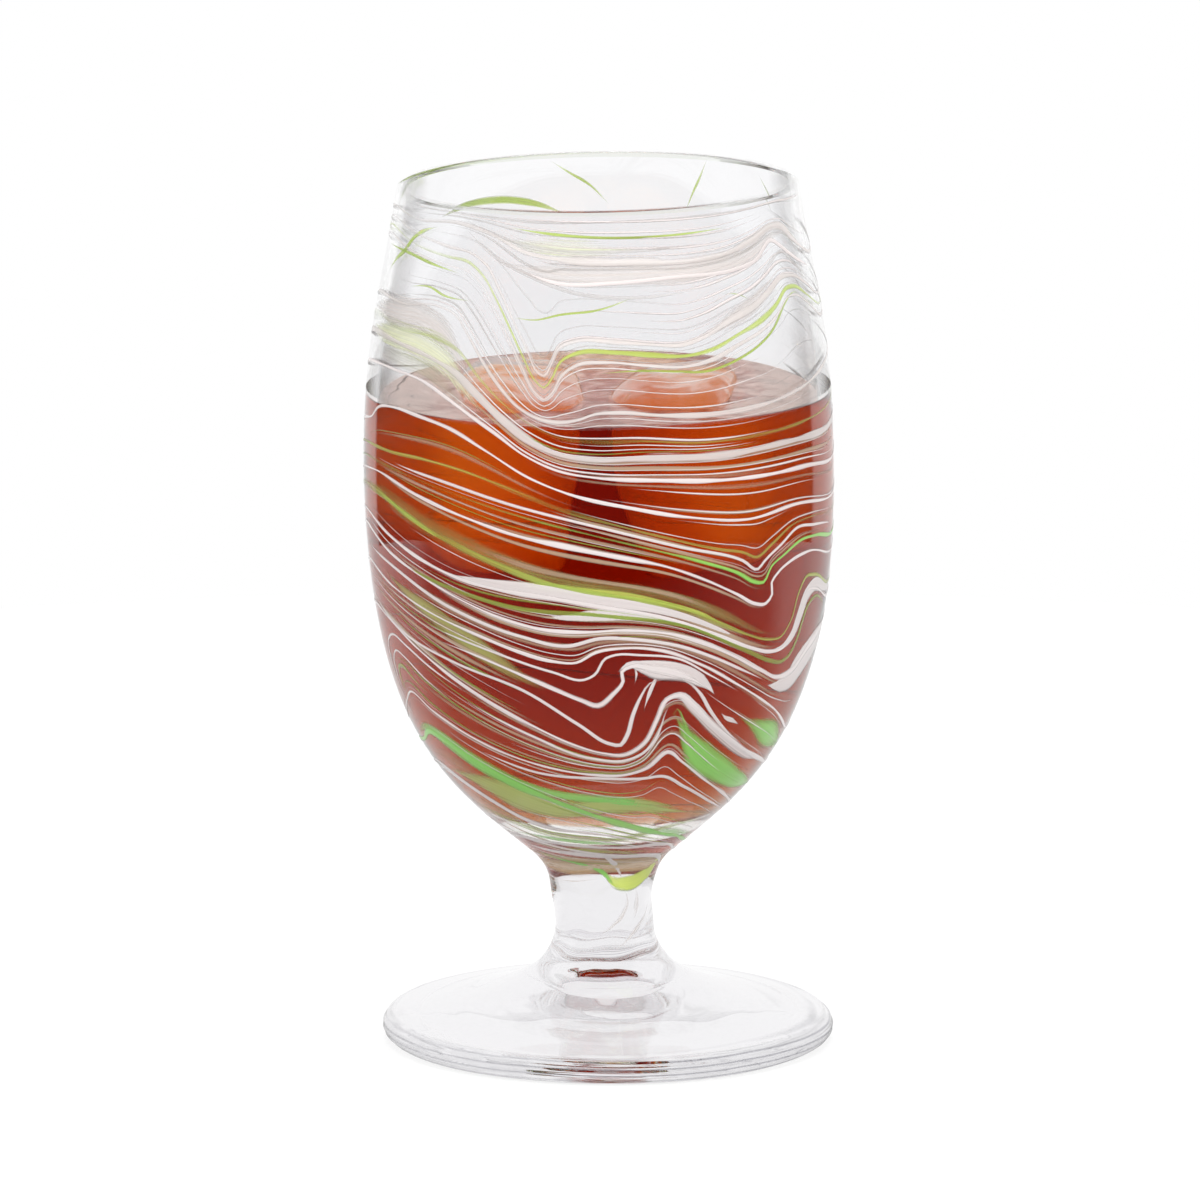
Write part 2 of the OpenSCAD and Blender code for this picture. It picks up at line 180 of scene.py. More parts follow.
def clear_finish(tree, ior, inputs, depth=None):
    """Ends a material in a clear surface that bends light. A depth tints what crosses it."""
    shader = add_node(tree, "ShaderNodeBsdfPrincipled", {
        "Roughness": 0.0, "IOR": ior, "Transmission Weight": 1.0, **inputs})
    end = add_node(tree, "ShaderNodeOutputMaterial", {"Surface": shader.outputs[0]})
    if depth:
        tree.links.new(depth.outputs[0], end.inputs["Volume"])


# Solid soda-lime glass: mirror-smooth with a trace of grey. Round the foot's edge, where the pressing
# tool left its ridges, fine dark lines are painted shade, standing for the dark side of the room that the
# ridges mirror
thick_glass, tree = new_material("clear_glass_solid")
place = add_node(tree, "ShaderNodeNewGeometry")
out = add_node(tree, "ShaderNodeVectorMath", {
    0: place.outputs["Position"], 1: (1, 1, 0)}, operation="MULTIPLY")
out = add_node(tree, "ShaderNodeVectorMath", {0: out.outputs[0]}, operation="LENGTH")
rolled = ramp(tree, out.outputs["Value"], (FOOT_R - ROLLED_W) * MM, FOOT_R * MM)
ridges = add_node(tree, "ShaderNodeTexWave", {
    "Vector": place.outputs["Position"], "Scale": BAND_M / (RIDGE_MM * MM), "Distortion": 3.0,
    "Detail": 2.0, "Detail Scale": 0.12}, bands_direction="Z")
# Painted shade: dark lines along the tool's ridges near the foot's edge
painted_ridge_shade = calc(tree, "MULTIPLY", ramp(tree, ridges.outputs[1], 0.72, 0.98), rolled)
tint = blend(tree, painted_ridge_shade, colour("#f2f1f3"), colour("#98979e"))
clear_finish(tree, GLASS_IOR, {"Base Color": tint})

# Hot seam where two gathers melted together: nothing shows there, so light goes straight through
fused_seam, tree = new_material("fused_glass_seam")
shader = add_node(tree, "ShaderNodeBsdfTransparent")
add_node(tree, "ShaderNodeOutputMaterial", {"Surface": shader.outputs[0]})

flare = np.array([FLARE_R, FOOT_Z])
edge = np.array([FOOT_R - EDGE_T / 2, EDGE_T])
edge_turn = np.radians(np.linspace(90, -90, CURVE + 1))
edge_round = EDGE_T / 2 * np.column_stack([np.cos(edge_turn), np.sin(edge_turn)])
profile = np.vstack([
    [[0, FOOT_Z]],
    bezier(flare, flare + lean(180 - FLARE_LEAN, 6), edge + lean(-80, 12), edge),
    (edge - [0, EDGE_T / 2] + edge_round)[1:],
    bezier((edge[0] - RING_W, 0), *HOLLOW_CURVE, DOME_EDGE, 24),
    bezier(DOME_EDGE, DOME_CURVE, (DOME_EDGE[0] / 2, DOME_Z), (0, DOME_Z), 20)[1:],
])


def foot_wave(turn, z):
    """Unevenness of the pressed edge, and the ridges that the tool left round it."""
    ridges = (z < EDGE_T) * np.sin(5.7 * z + 1.3 * np.sin(3 * turn))
    ridges = ridges * (0.6 + 0.4 * np.sin(4 * turn + 1))
    return (RIDGE_H * ridges + 0.18 * np.sin(2 * turn + 0.6) + 0.1 * np.sin(5 * turn + z / 3)
            + 0.06 * np.sin(9 * turn + 2))


verts, faces = lathe(profile, foot_wave)
seams = [SEAM] * ROUND + [SKIN] * (len(faces) - ROUND)
foot = make_piece("foot_glass", verts, faces, [thick_glass, fused_seam], seams)
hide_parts("foot")


# Stem
# A solid bit of the same clear glass, drawn down to a waist with the jacks.
# It is fused to the foot below and to the bowl above.
WAIST = (9.35, FOOT_Z + 10)
SEAT_R = 13
NECK_LEAN = 47
SEAT_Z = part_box("stem")[1].z / MM
waist = np.array(WAIST)
seat = np.array([SEAT_R, SEAT_Z])
stem_side = np.vstack([
    bezier(flare, flare + lean(-FLARE_LEAN, 5), waist - [0, 4], waist),
    bezier(waist, waist + [0, 7], seat - lean(NECK_LEAN, 4), seat)[1:],
])


def stem_wave(turn, z):
    """Tool marks of the jacks, fading out at both ends."""
    middle = np.sin(math.pi * (z - FOOT_Z) / (SEAT_Z - FOOT_Z))
    return middle * (0.14 * np.sin(3 * turn + z / 2.2) + 0.08 * np.sin(7 * turn - z / 1.5))


verts, faces = lathe(np.vstack([[[0, FOOT_Z]], stem_side, [[0, SEAT_Z]]]), stem_wave)
seams = [SEAM] * ROUND + [SKIN] * (len(faces) - 2 * ROUND) + [SEAM] * ROUND
stem = make_piece("stem_glass", verts, faces, [thick_glass, fused_seam], seams)
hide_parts("stem")


# Bowl
# Blown clear glass with a thick floor and a fire-polished rim, a little wavy as blown glass is.
# Below the level of the drink its inner face is wet, and shows no reflections of its own.
BELLY = (44.5, SEAT_Z + 74)
RIM_R = 38
RIM_T = 2
RIM_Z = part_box("bowl")[1].z / MM
WALL_T = 2.4
FLOOR_Z = SEAT_Z + 10.5
DRINK_Z = 125
BOWL_LEAN, RIM_LEAN = 49, -7
SHOULDER_H, RIM_DRAW = 28, 16
RIPPLE_MM, RIPPLE_RISE = 0.07, 25
WET, DRY, RIM = 2, 3, 4
belly = np.array(BELLY)
lip = np.array([RIM_R, RIM_Z - RIM_T / 2])
bowl_side = np.vstack([
    bezier(seat, seat + lean(BOWL_LEAN, 19), belly - [0, 52], belly, 70),
    bezier(belly, belly + [0, SHOULDER_H], lip - lean(RIM_LEAN, RIM_DRAW), lip, 46)[1:],
])
rim_turn = np.radians(np.linspace(0, 180, 15))
rim_round = RIM_T / 2 * np.column_stack([np.cos(rim_turn), np.sin(rim_turn)])
rim_round = lip - [RIM_T / 2, 0] + rim_round
belly_in = belly - [WALL_T, 0]
lip_in = lip - [RIM_T, 0]
bowl_inside = np.vstack([
    bezier(lip_in, lip_in - lean(RIM_LEAN, RIM_DRAW), belly_in + [0, SHOULDER_H], belly_in, 46),
    bezier(belly_in, belly_in - [0, 50], (21, FLOOR_Z), (0, FLOOR_Z), 70)[1:],
])


def wall_wave(turn, z):
    """Ripple of the blown wall in mm, gone at the seat."""
    rise = np.clip((z - SEAT_Z) / RIPPLE_RISE, 0, 1)
    ripple = (np.sin(3 * turn + z / 19) + 0.7 * np.sin(5 * turn - z / 12 + 1)
              + 0.5 * np.sin(9 * turn + z / 8 + 2))
    return RIPPLE_MM * rise * ripple


# Blown glass with a fire-polished skin, thin enough to be colourless
clear_glass, tree = new_material("clear_glass_fire_polished")
clear_finish(tree, GLASS_IOR, {"Base Color": colour("#fdfefd")})


def leaky_glass(name, tint, first, last, least):
    """Thin glass that lets grazing light slip out, where a perfect wall would trap it as dark lines."""
    material, tree = new_material(name)
    graze = add_node(tree, "ShaderNodeLayerWeight", {"Blend": 0.5})
    held = ramp(tree, graze.outputs["Facing"], first, last, 1.0, least)
    clear_finish(tree, GLASS_IOR, {"Base Color": colour(tint), "Alpha": held})
    return material


# The dry wall above the drink, and the rim with the trace of green that its thickness gathers
dry_glass = leaky_glass("clear_glass_dry_wall", "#fcfcfd", 0.56, 0.86, 0.18)
rim_glass = leaky_glass("clear_glass_rim", "#f3f7ee", 0.1, 0.55, 0.06)

# The same glass where the drink wets it: light bends on into the drink and none is mirrored back
wet_glass, tree = new_material("clear_glass_wetted")
clear_finish(tree, GLASS_IOR, {"Base Color": colour("#fefefe"), "Specular Tint": colour("#000000")})

profile = np.vstack([[[0, SEAT_Z]], bowl_side, rim_round[1:], bowl_inside[1:]])
verts, faces = lathe(profile, wall_wave)
first_inside = len(bowl_side) + len(rim_round) - 1
below = [WET if i >= first_inside else SKIN for i in range(len(profile) - 1)]
kinds = [DRY if point[1] > DRINK_Z else kind for point, kind in zip(profile, below)]
kinds[len(bowl_side) : first_inside] = [RIM] * (first_inside - len(bowl_side))
kinds[0] = SEAM
glasses = [clear_glass, fused_seam, wet_glass, dry_glass, rim_glass]
bowl = make_piece("bowl_glass", verts, faces, glasses, np.repeat(kinds, ROUND))
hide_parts("bowl")


# White trails
# Threads of opal white glass trailed onto the hot bowl, combed into folds and melted almost flat.
# Each is laid on the wall along a few points: angle round the bowl from the front, height in percent
# of the bowl from its seat to its rim, and width in mm.
white_arcs = [
    [[-80, 97.5, 0.8], [-60, 97, 1], [-40, 97.4, 1.2], [-30, 96.2, 1.4], [-20, 94, 1.6],
     [-8, 93, 1.8], [10, 92.6, 2], [25, 92.3, 2], [38, 92.8, 2], [48, 94, 2], [57, 95.3, 2],
     [62, 95, 1.8], [68, 92.8, 1.6], [80, 90, 1.4]],
    [[-80, 96, 0.8], [-60, 94.9, 0.8], [-45, 93.9, 0.8], [-36, 93.2, 0.8], [-31, 91.6, 0.8],
     [-27, 88.6, 0.8], [-22, 84, 0.8], [-18, 80, 0.8], [-15, 77, 0.9], [-13.5, 76.6, 0.9],
     [-12, 78, 0.9], [-10, 80.6, 1], [-6, 81.6, 1], [4, 81.5, 1.2], [14, 80.9, 1.2],
     [21, 80.6, 1.4], [28, 81.5, 1.6], [36, 83.4, 1.8], [45, 84.9, 1.8], [51, 86.4, 1.6],
     [57, 88, 1.4], [64, 87.8, 1.2], [72, 86, 1], [80, 84, 1]],
    [[-80, 93.4, 0.7], [-60, 92.1, 0.7], [-45, 91.2, 0.7], [-37, 90.6, 0.7], [-32, 88.8, 0.7],
     [-28, 86, 0.7], [-23, 81.5, 0.7], [-19, 77.4, 0.7], [-15.5, 74, 0.8], [-13.4, 73.2, 0.9],
     [-11.4, 74.2, 0.9], [-9, 76.8, 0.9], [-5, 78.3, 1], [2, 78.6, 1], [12, 78, 1],
     [22, 77.5, 1], [30, 78.2, 1], [38, 79.8, 1], [47, 81.4, 0.9], [54, 83.2, 0.9],
     [59, 85, 0.9], [64, 85, 0.9], [71, 83.2, 0.8], [80, 80.8, 0.8]],
    [[-80, 84.8, 1], [-60, 84.6, 1], [-46, 85.2, 1], [-40, 84.4, 1], [-35, 81.6, 1],
     [-30, 78, 1], [-25, 74.7, 1], [-20, 72, 1], [-15, 70.5, 1], [-10, 70, 1], [-5, 70.4, 1],
     [-1, 71.2, 1.1], [5, 71.4, 1.2], [15, 70.8, 1.2], [28, 70.4, 1.2], [42, 70.7, 1.2],
     [54, 71.5, 1.2], [66, 72.6, 1], [80, 74.2, 1]],
    [[-80, 79.2, 1.4], [-60, 78.8, 1.5], [-46, 77.6, 1.6], [-38, 76, 1.8], [-31, 73.2, 1.9],
     [-24, 70, 2], [-17, 67.2, 2], [-10, 65.4, 2], [-2, 64.7, 2], [12, 64.7, 2], [30, 64.4, 2],
     [50, 64.8, 1.8], [80, 65, 1.6]],
]
white_rings = [
    [[-80, 74.6, 0.8], [-62, 74.9, 0.9], [-48, 74, 0.9], [-40, 72.2, 0.9], [-33, 70.2, 0.9],
     [-26, 68, 0.9], [-18, 65, 0.9], [-10, 63, 0.9], [0, 62, 0.9], [15, 61.4, 1], [30, 60.8, 1.2],
     [45, 60.6, 1.2], [60, 60.6, 1.1], [80, 59.8, 1]],
    [[-80, 66.2, 0.8], [-75, 66.8, 0.8], [-70, 68.6, 0.9], [-62, 69.4, 0.9], [-50, 69, 0.9],
     [-39, 67.9, 0.9], [-28, 65.2, 0.8], [-17, 61.8, 0.8], [-6, 59.4, 0.8], [8, 57.5, 0.9],
     [22, 55.8, 0.9], [38, 54.6, 0.9], [54, 55.4, 0.9], [80, 54.4, 0.8]],
    [[-80, 58.8, 0.7], [-68, 59.2, 0.7], [-50, 57.4, 0.8], [-34, 55.2, 0.9], [-20, 53.2, 1.2],
     [-8, 51.9, 1.4], [4, 50.5, 1.2], [16, 48.8, 1], [27, 46.2, 0.9], [36, 43.6, 0.9],
     [42, 41.8, 0.8], [45.5, 41.6, 0.8], [47.5, 42.8, 0.8], [47, 44.6, 0.8], [49, 45.8, 0.8],
     [55, 47.3, 0.8], [62, 47.8, 0.8], [80, 46, 0.8]],
    [[-80, 52.6, 0.9], [-62, 50.2, 0.9], [-48, 47.8, 1], [-36, 46, 1.2], [-25, 45, 1.4],
     [-12, 44.2, 1.5], [0, 43.1, 1.5], [12, 41.8, 1.4], [22, 40, 1.2], [32, 37.6, 1],
     [42, 35.2, 1], [50, 34, 1], [55, 34.2, 1], [58.5, 36, 1], [61, 39.6, 1.2], [64, 41.8, 1.2],
     [69, 41.6, 1.2], [80, 39.4, 1]],
    [[-80, 50.4, 0.8], [-62, 47.6, 0.8], [-48, 45.2, 0.8], [-36, 42.8, 0.8], [-24, 40.6, 0.9],
     [-14, 39.4, 1], [-5, 39.2, 1], [6, 39.5, 1], [17, 38.8, 1.1], [27, 36.9, 1.2],
     [37, 34.3, 1.2], [47, 31.4, 1.4], [55, 29.6, 2], [62, 30, 2.8], [69, 32.4, 3], [80, 34.6, 2]],
    [[-80, 45, 0.7], [-62, 42.6, 0.7], [-46, 40, 0.7], [-32, 37.8, 0.8], [-21, 35.9, 0.9],
     [-12, 34.7, 1], [-6, 34.6, 1], [-1, 36.2, 1], [6, 36.8, 1], [16, 36.2, 0.9], [27, 33.6, 0.8],
     [40, 29.6, 0.8], [56, 25, 0.8], [80, 19.6, 0.7]],
    [[-80, 38.6, 0.8], [-66, 37, 0.8], [-54, 34, 0.9], [-42, 30.6, 1], [-30, 27.3, 1],
     [-18, 24.2, 1], [-8, 21.8, 1], [1, 20.4, 1], [8, 20.2, 1.1], [13, 22, 1.2], [15.8, 25.6, 1.3],
     [18, 28.6, 1.4], [21.5, 29.2, 1.5], [26, 27.4, 1.7], [32, 24.6, 1.8], [40, 21.6, 1.7],
     [50, 18.8, 1.5], [64, 16.2, 1.2], [80, 14.4, 1]],
    [[-80, 21.6, 0.7], [-70, 24.8, 0.7], [-64, 26.6, 0.8], [-54, 24.4, 0.8], [-42, 21.8, 0.8],
     [-30, 19.6, 0.8], [-16, 17.8, 0.9], [-2, 16.8, 0.9], [9, 16.8, 0.9], [15, 17.8, 1],
     [20.5, 20.2, 1.2], [26, 18.4, 1.1], [36, 15.2, 1], [48, 12.4, 0.9], [62, 10, 0.8], [80, 8, 0.7]],
    [[-80, 14.4, 1], [-68, 14.2, 1], [-54, 12, 1.1], [-42, 9.4, 1.1], [-30, 7.4, 1.1],
     [-16, 6.6, 1.1], [0, 6, 1], [20, 4.6, 0.9], [45, 3, 0.8], [80, 1, 0.8]],
]
white_strands = [
    [[-46, 36.2, 0.5], [-34, 34.8, 0.8], [-22, 32.6, 1], [-12, 30.4, 1.1], [-5, 28.8, 1.2],
     [-0.5, 28, 1.3], [3.5, 29.8, 1.2], [6, 31.8, 1.1], [5.6, 33.2, 1.1], [8, 34, 1.6],
     [13, 33.6, 3], [19, 32.8, 3], [25, 31.4, 2], [32, 28.8, 0.6]],
    [[1, 1.6, 0.7], [6, 1, 0.9], [11, 0, 1], [16, -1.2, 1], [21, -2.4, 0.6]],
]
FRONT_END = 80
ARC_END = 122
BACK_WAVE = 2
BEHIND, END_GAP = range(105, 256, 25), 6
BACK_FADE = [95, 130]
SEAM_FIRST, SEAM_TURN, SEAM_SPAN = 118, 38, 124
BOWL_H = RIM_Z - SEAT_Z
DEGREE_MM = math.radians(BELLY[0])
SHARE_MM = BOWL_H / 100
wall_profile = np.vstack([stem_side, bowl_side[1:]])


def wall_at(z):
    """Radius and slope of the outside wall at a height."""
    return (np.interp(z, wall_profile[:, 1], wall_profile[:, 0]),
            np.interp(z, wall_profile[:, 1], np.gradient(wall_profile[:, 0], wall_profile[:, 1])))


def on_wall(angle, z, lift):
    """Points in mm at an angle in degrees and a height, lifted off the rippled wall."""
    r, slope = wall_at(z)
    run = np.hypot(1, slope)
    turn = np.radians(angle)
    r = r + np.where(z > SEAT_Z, wall_wave(turn, z), stem_wave(turn, z)) + lift / run
    return np.stack([r * np.sin(turn), -r * np.cos(turn), z - lift * slope / run], axis=-1)


def round_back(front, right_end, left_end):
    """A trail's front with its back: a climb from its right end to its left end with a shallow wave."""
    right, left = np.array(front[-1], float), np.array(front[0], float)

    def back(angle):
        t = (angle % 360 - FRONT_END) / (360 - 2 * FRONT_END)
        climb = right + (left - right) * t
        return [angle, climb[1] + BACK_WAVE * math.sin(2 * math.pi * t), climb[2]]

    return ([back(left_end - 360)] + [back(a - 360) for a in BEHIND if a > left_end + END_GAP] + front
            + [back(a) for a in BEHIND if a < right_end - END_GAP] + [back(right_end)])


def smooth(points, step):
    """A smooth curve through the points of a trail, each stretch weighed by its length."""
    p = np.array(points, float)
    length = np.hypot(np.diff(p[:, 0]) * DEGREE_MM, np.diff(p[:, 1]) * SHARE_MM)[:, None]
    drift = np.diff(p, axis=0) / length
    middle = (drift[:-1] * length[1:] + drift[1:] * length[:-1]) / (length[:-1] + length[1:])
    heading = np.vstack([drift[:1], middle, drift[-1:]])
    path = []
    for i in range(len(p) - 1):
        d = length[i]
        t = np.linspace(0, 1, max(2, int(d[0] / step)), endpoint=False)[:, None]
        s = 1 - t
        path.append(s * s * (1 + 2 * t) * p[i] + t * t * (3 - 2 * t) * p[i + 1]
                    + s * s * t * d * heading[i] - t * t * s * d * heading[i + 1])
    return np.vstack(path + [p[-1:]])


class Trails:
    """Ribbons of glass laid on the wall, gathered into one mesh with their flow coordinates."""

    def __init__(self):
        self.verts, self.faces, self.flow, self.cover = [], [], [], []
        self.count = 0

    def lay(self, path, section, lift, seed, cover=1.0, taper_mm=9, edge=2):
        """Lays a ribbon along a path of angle, share and width. The section's rows are its points
        across, from -1 to 1, and their height as a share of the lift. A higher edge number thins out
        less of the ribbon beside its edges."""
        angle, share, width = path.T
        z = SEAT_Z + share * SHARE_MM
        r, slope = wall_at(z)
        run = np.hypot(1, slope)
        degree = np.radians(r)
        way = np.column_stack([np.gradient(angle) * degree, np.gradient(share) * SHARE_MM * run])
        step = np.hypot(way[:, 0], way[:, 1])
        side = np.column_stack([-way[:, 1], way[:, 0]]) / step[:, None]
        along = np.concatenate([[0], np.cumsum((step[1:] + step[:-1]) / 2)])
        taper = np.clip(np.minimum(along, along[-1] - along) / taper_mm, 0.02, 1) ** 0.6
        half = width * taper / 2
        start, n = self.count, len(section)
        for u, h in section:
            off = u * half
            self.verts.append(on_wall(angle + side[:, 0] * off / degree, z + side[:, 1] * off / run,
                                      h * lift * taper))
            self.flow.append(np.column_stack([along, off, np.full(len(z), seed)]))
            self.cover.append(np.broadcast_to(cover, len(z)) * taper * (1 - abs(u) ** edge))
        m = len(z)
        index = start + np.arange(n)[:, None] * m + np.arange(m)[None, :]
        for k in range(n):
            a, b = index[k], index[(k + 1) % n]
            self.faces.extend(np.column_stack([a[:-1], b[:-1], b[1:], a[1:]]).tolist())
        self.faces.append(index[:, 0].tolist()[::-1])
        self.faces.append(index[:, -1].tolist())
        self.count += n * m

    def make(self, name, material, slot):
        """The piece, with flow (along, across, seed) and cover on its vertices."""
        piece = make_piece(name, np.vstack(self.verts), self.faces, [material])
        flow = piece.data.attributes.new("flow", "FLOAT_VECTOR", "POINT")
        flow.data.foreach_set("vector", np.vstack(self.flow).ravel())
        cover = piece.data.attributes.new("cover", "FLOAT", "POINT")
        cover.data.foreach_set("value", np.concatenate(self.cover))
        return piece


# Cross-sections: a crowned trail, a fine thread and a film, each with its underside sunk in the wall
CROWN = [(-1, 0), (-0.75, 0.6), (-0.35, 0.93), (0, 1), (0.35, 0.93), (0.75, 0.6), (1, 0),
         (0.7, -0.3), (-0.7, -0.3)]
THREAD = [(-1, 0), (0, 1), (1, 0), (0, -0.6)]
FILM = [(-1, 0.2), (-0.66, 0.8), (-0.33, 1), (0, 1), (0.33, 1), (0.66, 0.8), (1, 0.2),
        (0.6, -1), (-0.6, -1)]
TRAIL_LIFT = 0.08
TRAIL_STEP = 0.9
STREAK_LENGTH = 34


def opal_glass(name, pale, deep, streak_mm, breaks, soft, most, glow):
    """Milky glass with a polished skin that glows when lit from behind. Streaks are drawn out along
    the flow, and its thin edges and worn places let the glass behind show through."""
    material, tree = new_material(name)
    flow = add_node(tree, "ShaderNodeAttribute", attribute_name="flow")
    cover = add_node(tree, "ShaderNodeAttribute", attribute_name="cover")
    drawn = add_node(tree, "ShaderNodeVectorMath", {
        0: flow.outputs["Vector"], 1: (1 / STREAK_LENGTH, 1 / streak_mm, 1)}, operation="MULTIPLY")
    streaks = add_node(tree, "ShaderNodeTexNoise", {
        "Vector": drawn.outputs[0], "Scale": 1.0, "Detail": 3.0, "Roughness": 0.6})
    tint = blend(tree, streaks.outputs[0], colour(pale), colour(deep))
    body = calc(tree, "MULTIPLY_ADD", streaks.outputs[0], breaks, cover.outputs["Fac"])
    alpha = ramp(tree, body, breaks / 2, breaks / 2 + soft, most=most, interpolation_type="SMOOTHSTEP")
    shader = add_node(tree, "ShaderNodeBsdfPrincipled", {
        "Base Color": tint, "Roughness": 0.4, "IOR": 1.5, "Alpha": alpha,
        "Transmission Weight": glow, "Coat Weight": 0.5, "Coat Roughness": 0.03})
    add_node(tree, "ShaderNodeOutputMaterial", {"Surface": shader.outputs[0]})
    return material


ARC_COVER, RING_COVER = 0.15, 0.28
# Opal white glass: milky and softly glowing, greyer and thinner in the arcs over the clear upper wall
thin_opal = opal_glass("opal_white_glass_thin", "#f0eae7", "#d6cdc8", 0.26, 1.3, 0.75, 0.95, 0.4)
white_opal = opal_glass("opal_white_glass", "#f5eeec", "#dbd0ce", 0.26, 1.3, 0.75, 1.0, 0.3)


def seam(i):
    """Angle of the seam where the two ends of a ring trail meet, stepped from trail to trail."""
    return SEAM_FIRST + (i * SEAM_TURN) % SEAM_SPAN


def lay_trails(name, arcs, rings, strands, materials, worn):
    """One piece for each trail, standing for the solid of the same number. Worn lists, for the trails
    that have it, how much of the glass is left at some angles."""
    routes = [round_back(front, ARC_END, 360 - ARC_END) for front in arcs]
    routes += [round_back(front, seam(i) - 1, seam(i) + 1) for i, front in enumerate(rings)]
    for i, route in enumerate(routes + strands, 1):
        path = smooth(route, TRAIL_STEP)
        angle = path[:, 0]
        path[:, 2] *= 0.84 + 0.2 * np.sin(angle / 8 + i) + 0.14 * np.sin(angle / 2.7 + 3 * i)
        left = np.interp(np.abs(angle), BACK_FADE, [1, ARC_COVER if i <= len(arcs) else RING_COVER])
        left = left * np.interp(angle, *np.transpose(worn.get(i, [(0, 1)])))
        trails = Trails()
        trails.lay(path, CROWN, TRAIL_LIFT, i, left * (0.88 + 0.12 * np.sin(angle / 13 + 2 * i)))
        material = materials[min(i, len(materials)) - 1]
        trail = trails.make(f"{name}_trail_wound_{i}", material, f"{name}_glass")
        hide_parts(f"{name}_trail_{i}")


white_worn = {
    1: [(-80, 0.5), (-30, 0.6), (0, 0.85), (70, 0.85)],
    2: [(-80, 0.5), (-15, 0.6), (0, 0.9)],
    3: [(-80, 0.5), (-15, 0.6), (0, 0.9)],
    4: [(-80, 0.6), (-20, 0.7), (0, 0.9)],
}
lay_trails("white", white_arcs, white_rings, white_strands, [thin_opal] * 5 + [white_opal], white_worn)


# Green trails
# The same work in lime green glass, brighter where it lies thick and olive where it is thin.
# The last one ran down over the neck as the bowl was fused on, and set as a small puddle.
green_arcs = [
    [[-80, 94.7, 0.8], [-60, 93.4, 0.8], [-45, 92.5, 0.8], [-37, 92, 0.8], [-32, 90.2, 0.8],
     [-28, 87.4, 0.8], [-23, 83, 0.8], [-19, 79, 0.8], [-15.5, 75.7, 0.8], [-13.5, 74.9, 0.9],
     [-11.8, 76, 0.9], [-9.4, 78.7, 0.9], [-5, 80, 1], [4, 80, 1.1], [14, 79.4, 1.2], [22, 79, 1.3],
     [30, 79.6, 1.3], [38, 81.2, 1.3], [47, 82.8, 1.3], [54, 84.6, 1.2], [59, 86.3, 1.1],
     [64, 86.3, 1], [71, 84.5, 0.9], [80, 82.4, 0.9]],
    [[-80, 81.8, 2], [-60, 81.2, 2.2], [-45, 80.8, 2], [-38, 79.4, 1.6], [-31, 75.8, 1.2],
     [-24, 72.4, 1], [-17, 69.6, 0.9], [-10, 67.8, 0.9], [-2, 67.2, 1], [10, 67.2, 1], [25, 66.5, 0.9],
     [45, 66.7, 0.9], [62, 67.2, 0.8], [80, 68, 0.8]],
]
green_rings = [
    [[-80, 62.6, 0.9], [-60, 62.8, 1], [-46, 62.8, 1.1], [-34, 61.9, 1.1], [-22, 60, 1.1],
     [-10, 57.5, 1], [4, 55.1, 0.9], [18, 52.7, 0.9], [30, 50.7, 0.9], [37, 49.8, 0.9], [41.5, 48.8, 1],
     [46, 50.2, 0.9], [54, 52.4, 0.8], [64, 52.8, 0.8], [80, 52.2, 0.8]],
    [[-80, 60.6, 0.6], [-60, 60.4, 0.6], [-40, 58.8, 0.6], [-20, 56.2, 0.6], [-4, 54, 0.7],
     [12, 51.5, 0.8], [26, 49, 0.9], [36, 46.8, 1], [41, 45.2, 1.1], [44, 44.9, 1.1], [46.5, 47, 1],
     [51, 48.3, 1], [58, 49.8, 1], [66, 49.8, 1], [80, 48.6, 0.9]],
    [[-80, 56.4, 1.6], [-66, 56, 1.8], [-54, 54.2, 1.8], [-40, 51.6, 1.8], [-26, 48.8, 1.7],
     [-14, 46.6, 1.6], [-2, 45.2, 1.5], [10, 44, 1.4], [20, 42.4, 1.3], [30, 39.9, 1.2],
     [40, 37.4, 1.1], [48, 36, 1], [53, 36, 1], [56.5, 38, 1], [59, 42, 1], [62, 44, 1], [67, 43.9, 1],
     [80, 41.4, 1]],
    [[-80, 17.8, 1.2], [-70, 18.8, 1.6], [-62, 20.6, 2.2], [-54, 19.8, 2.8], [-44, 17.4, 3],
     [-32, 14.8, 3], [-18, 12.2, 2.8], [-4, 9.8, 2.6], [10, 7.8, 2.4], [26, 6, 2], [44, 4.6, 1.5],
     [80, 2.6, 1]],
]
green_strands = [
    [[20, 25.4, 1], [21.4, 27, 1.4], [23.4, 25.4, 2], [26.4, 22.6, 3.2], [31, 20, 3.8],
     [38, 17.4, 3.6], [47, 15.2, 2.8], [58, 13.2, 2], [72, 11.2, 0.8]],
    [[44, 24.2, 0.5], [50, 22.8, 2.2], [56, 21.2, 3.2], [63, 19.6, 3], [72, 17.6, 2],
     [84, 15.6, 0.5]],
    [[-52, 1.6, 0.6], [-36, 0.6, 1.1], [-20, 0, 1.4], [-8, -0.6, 1.4], [2, -1.6, 1.4], [9, -3, 1.5],
     [18, -4.4, 1.8], [30, -4.8, 2], [44, -4, 1.8], [58, -2.6, 0.6]],
]
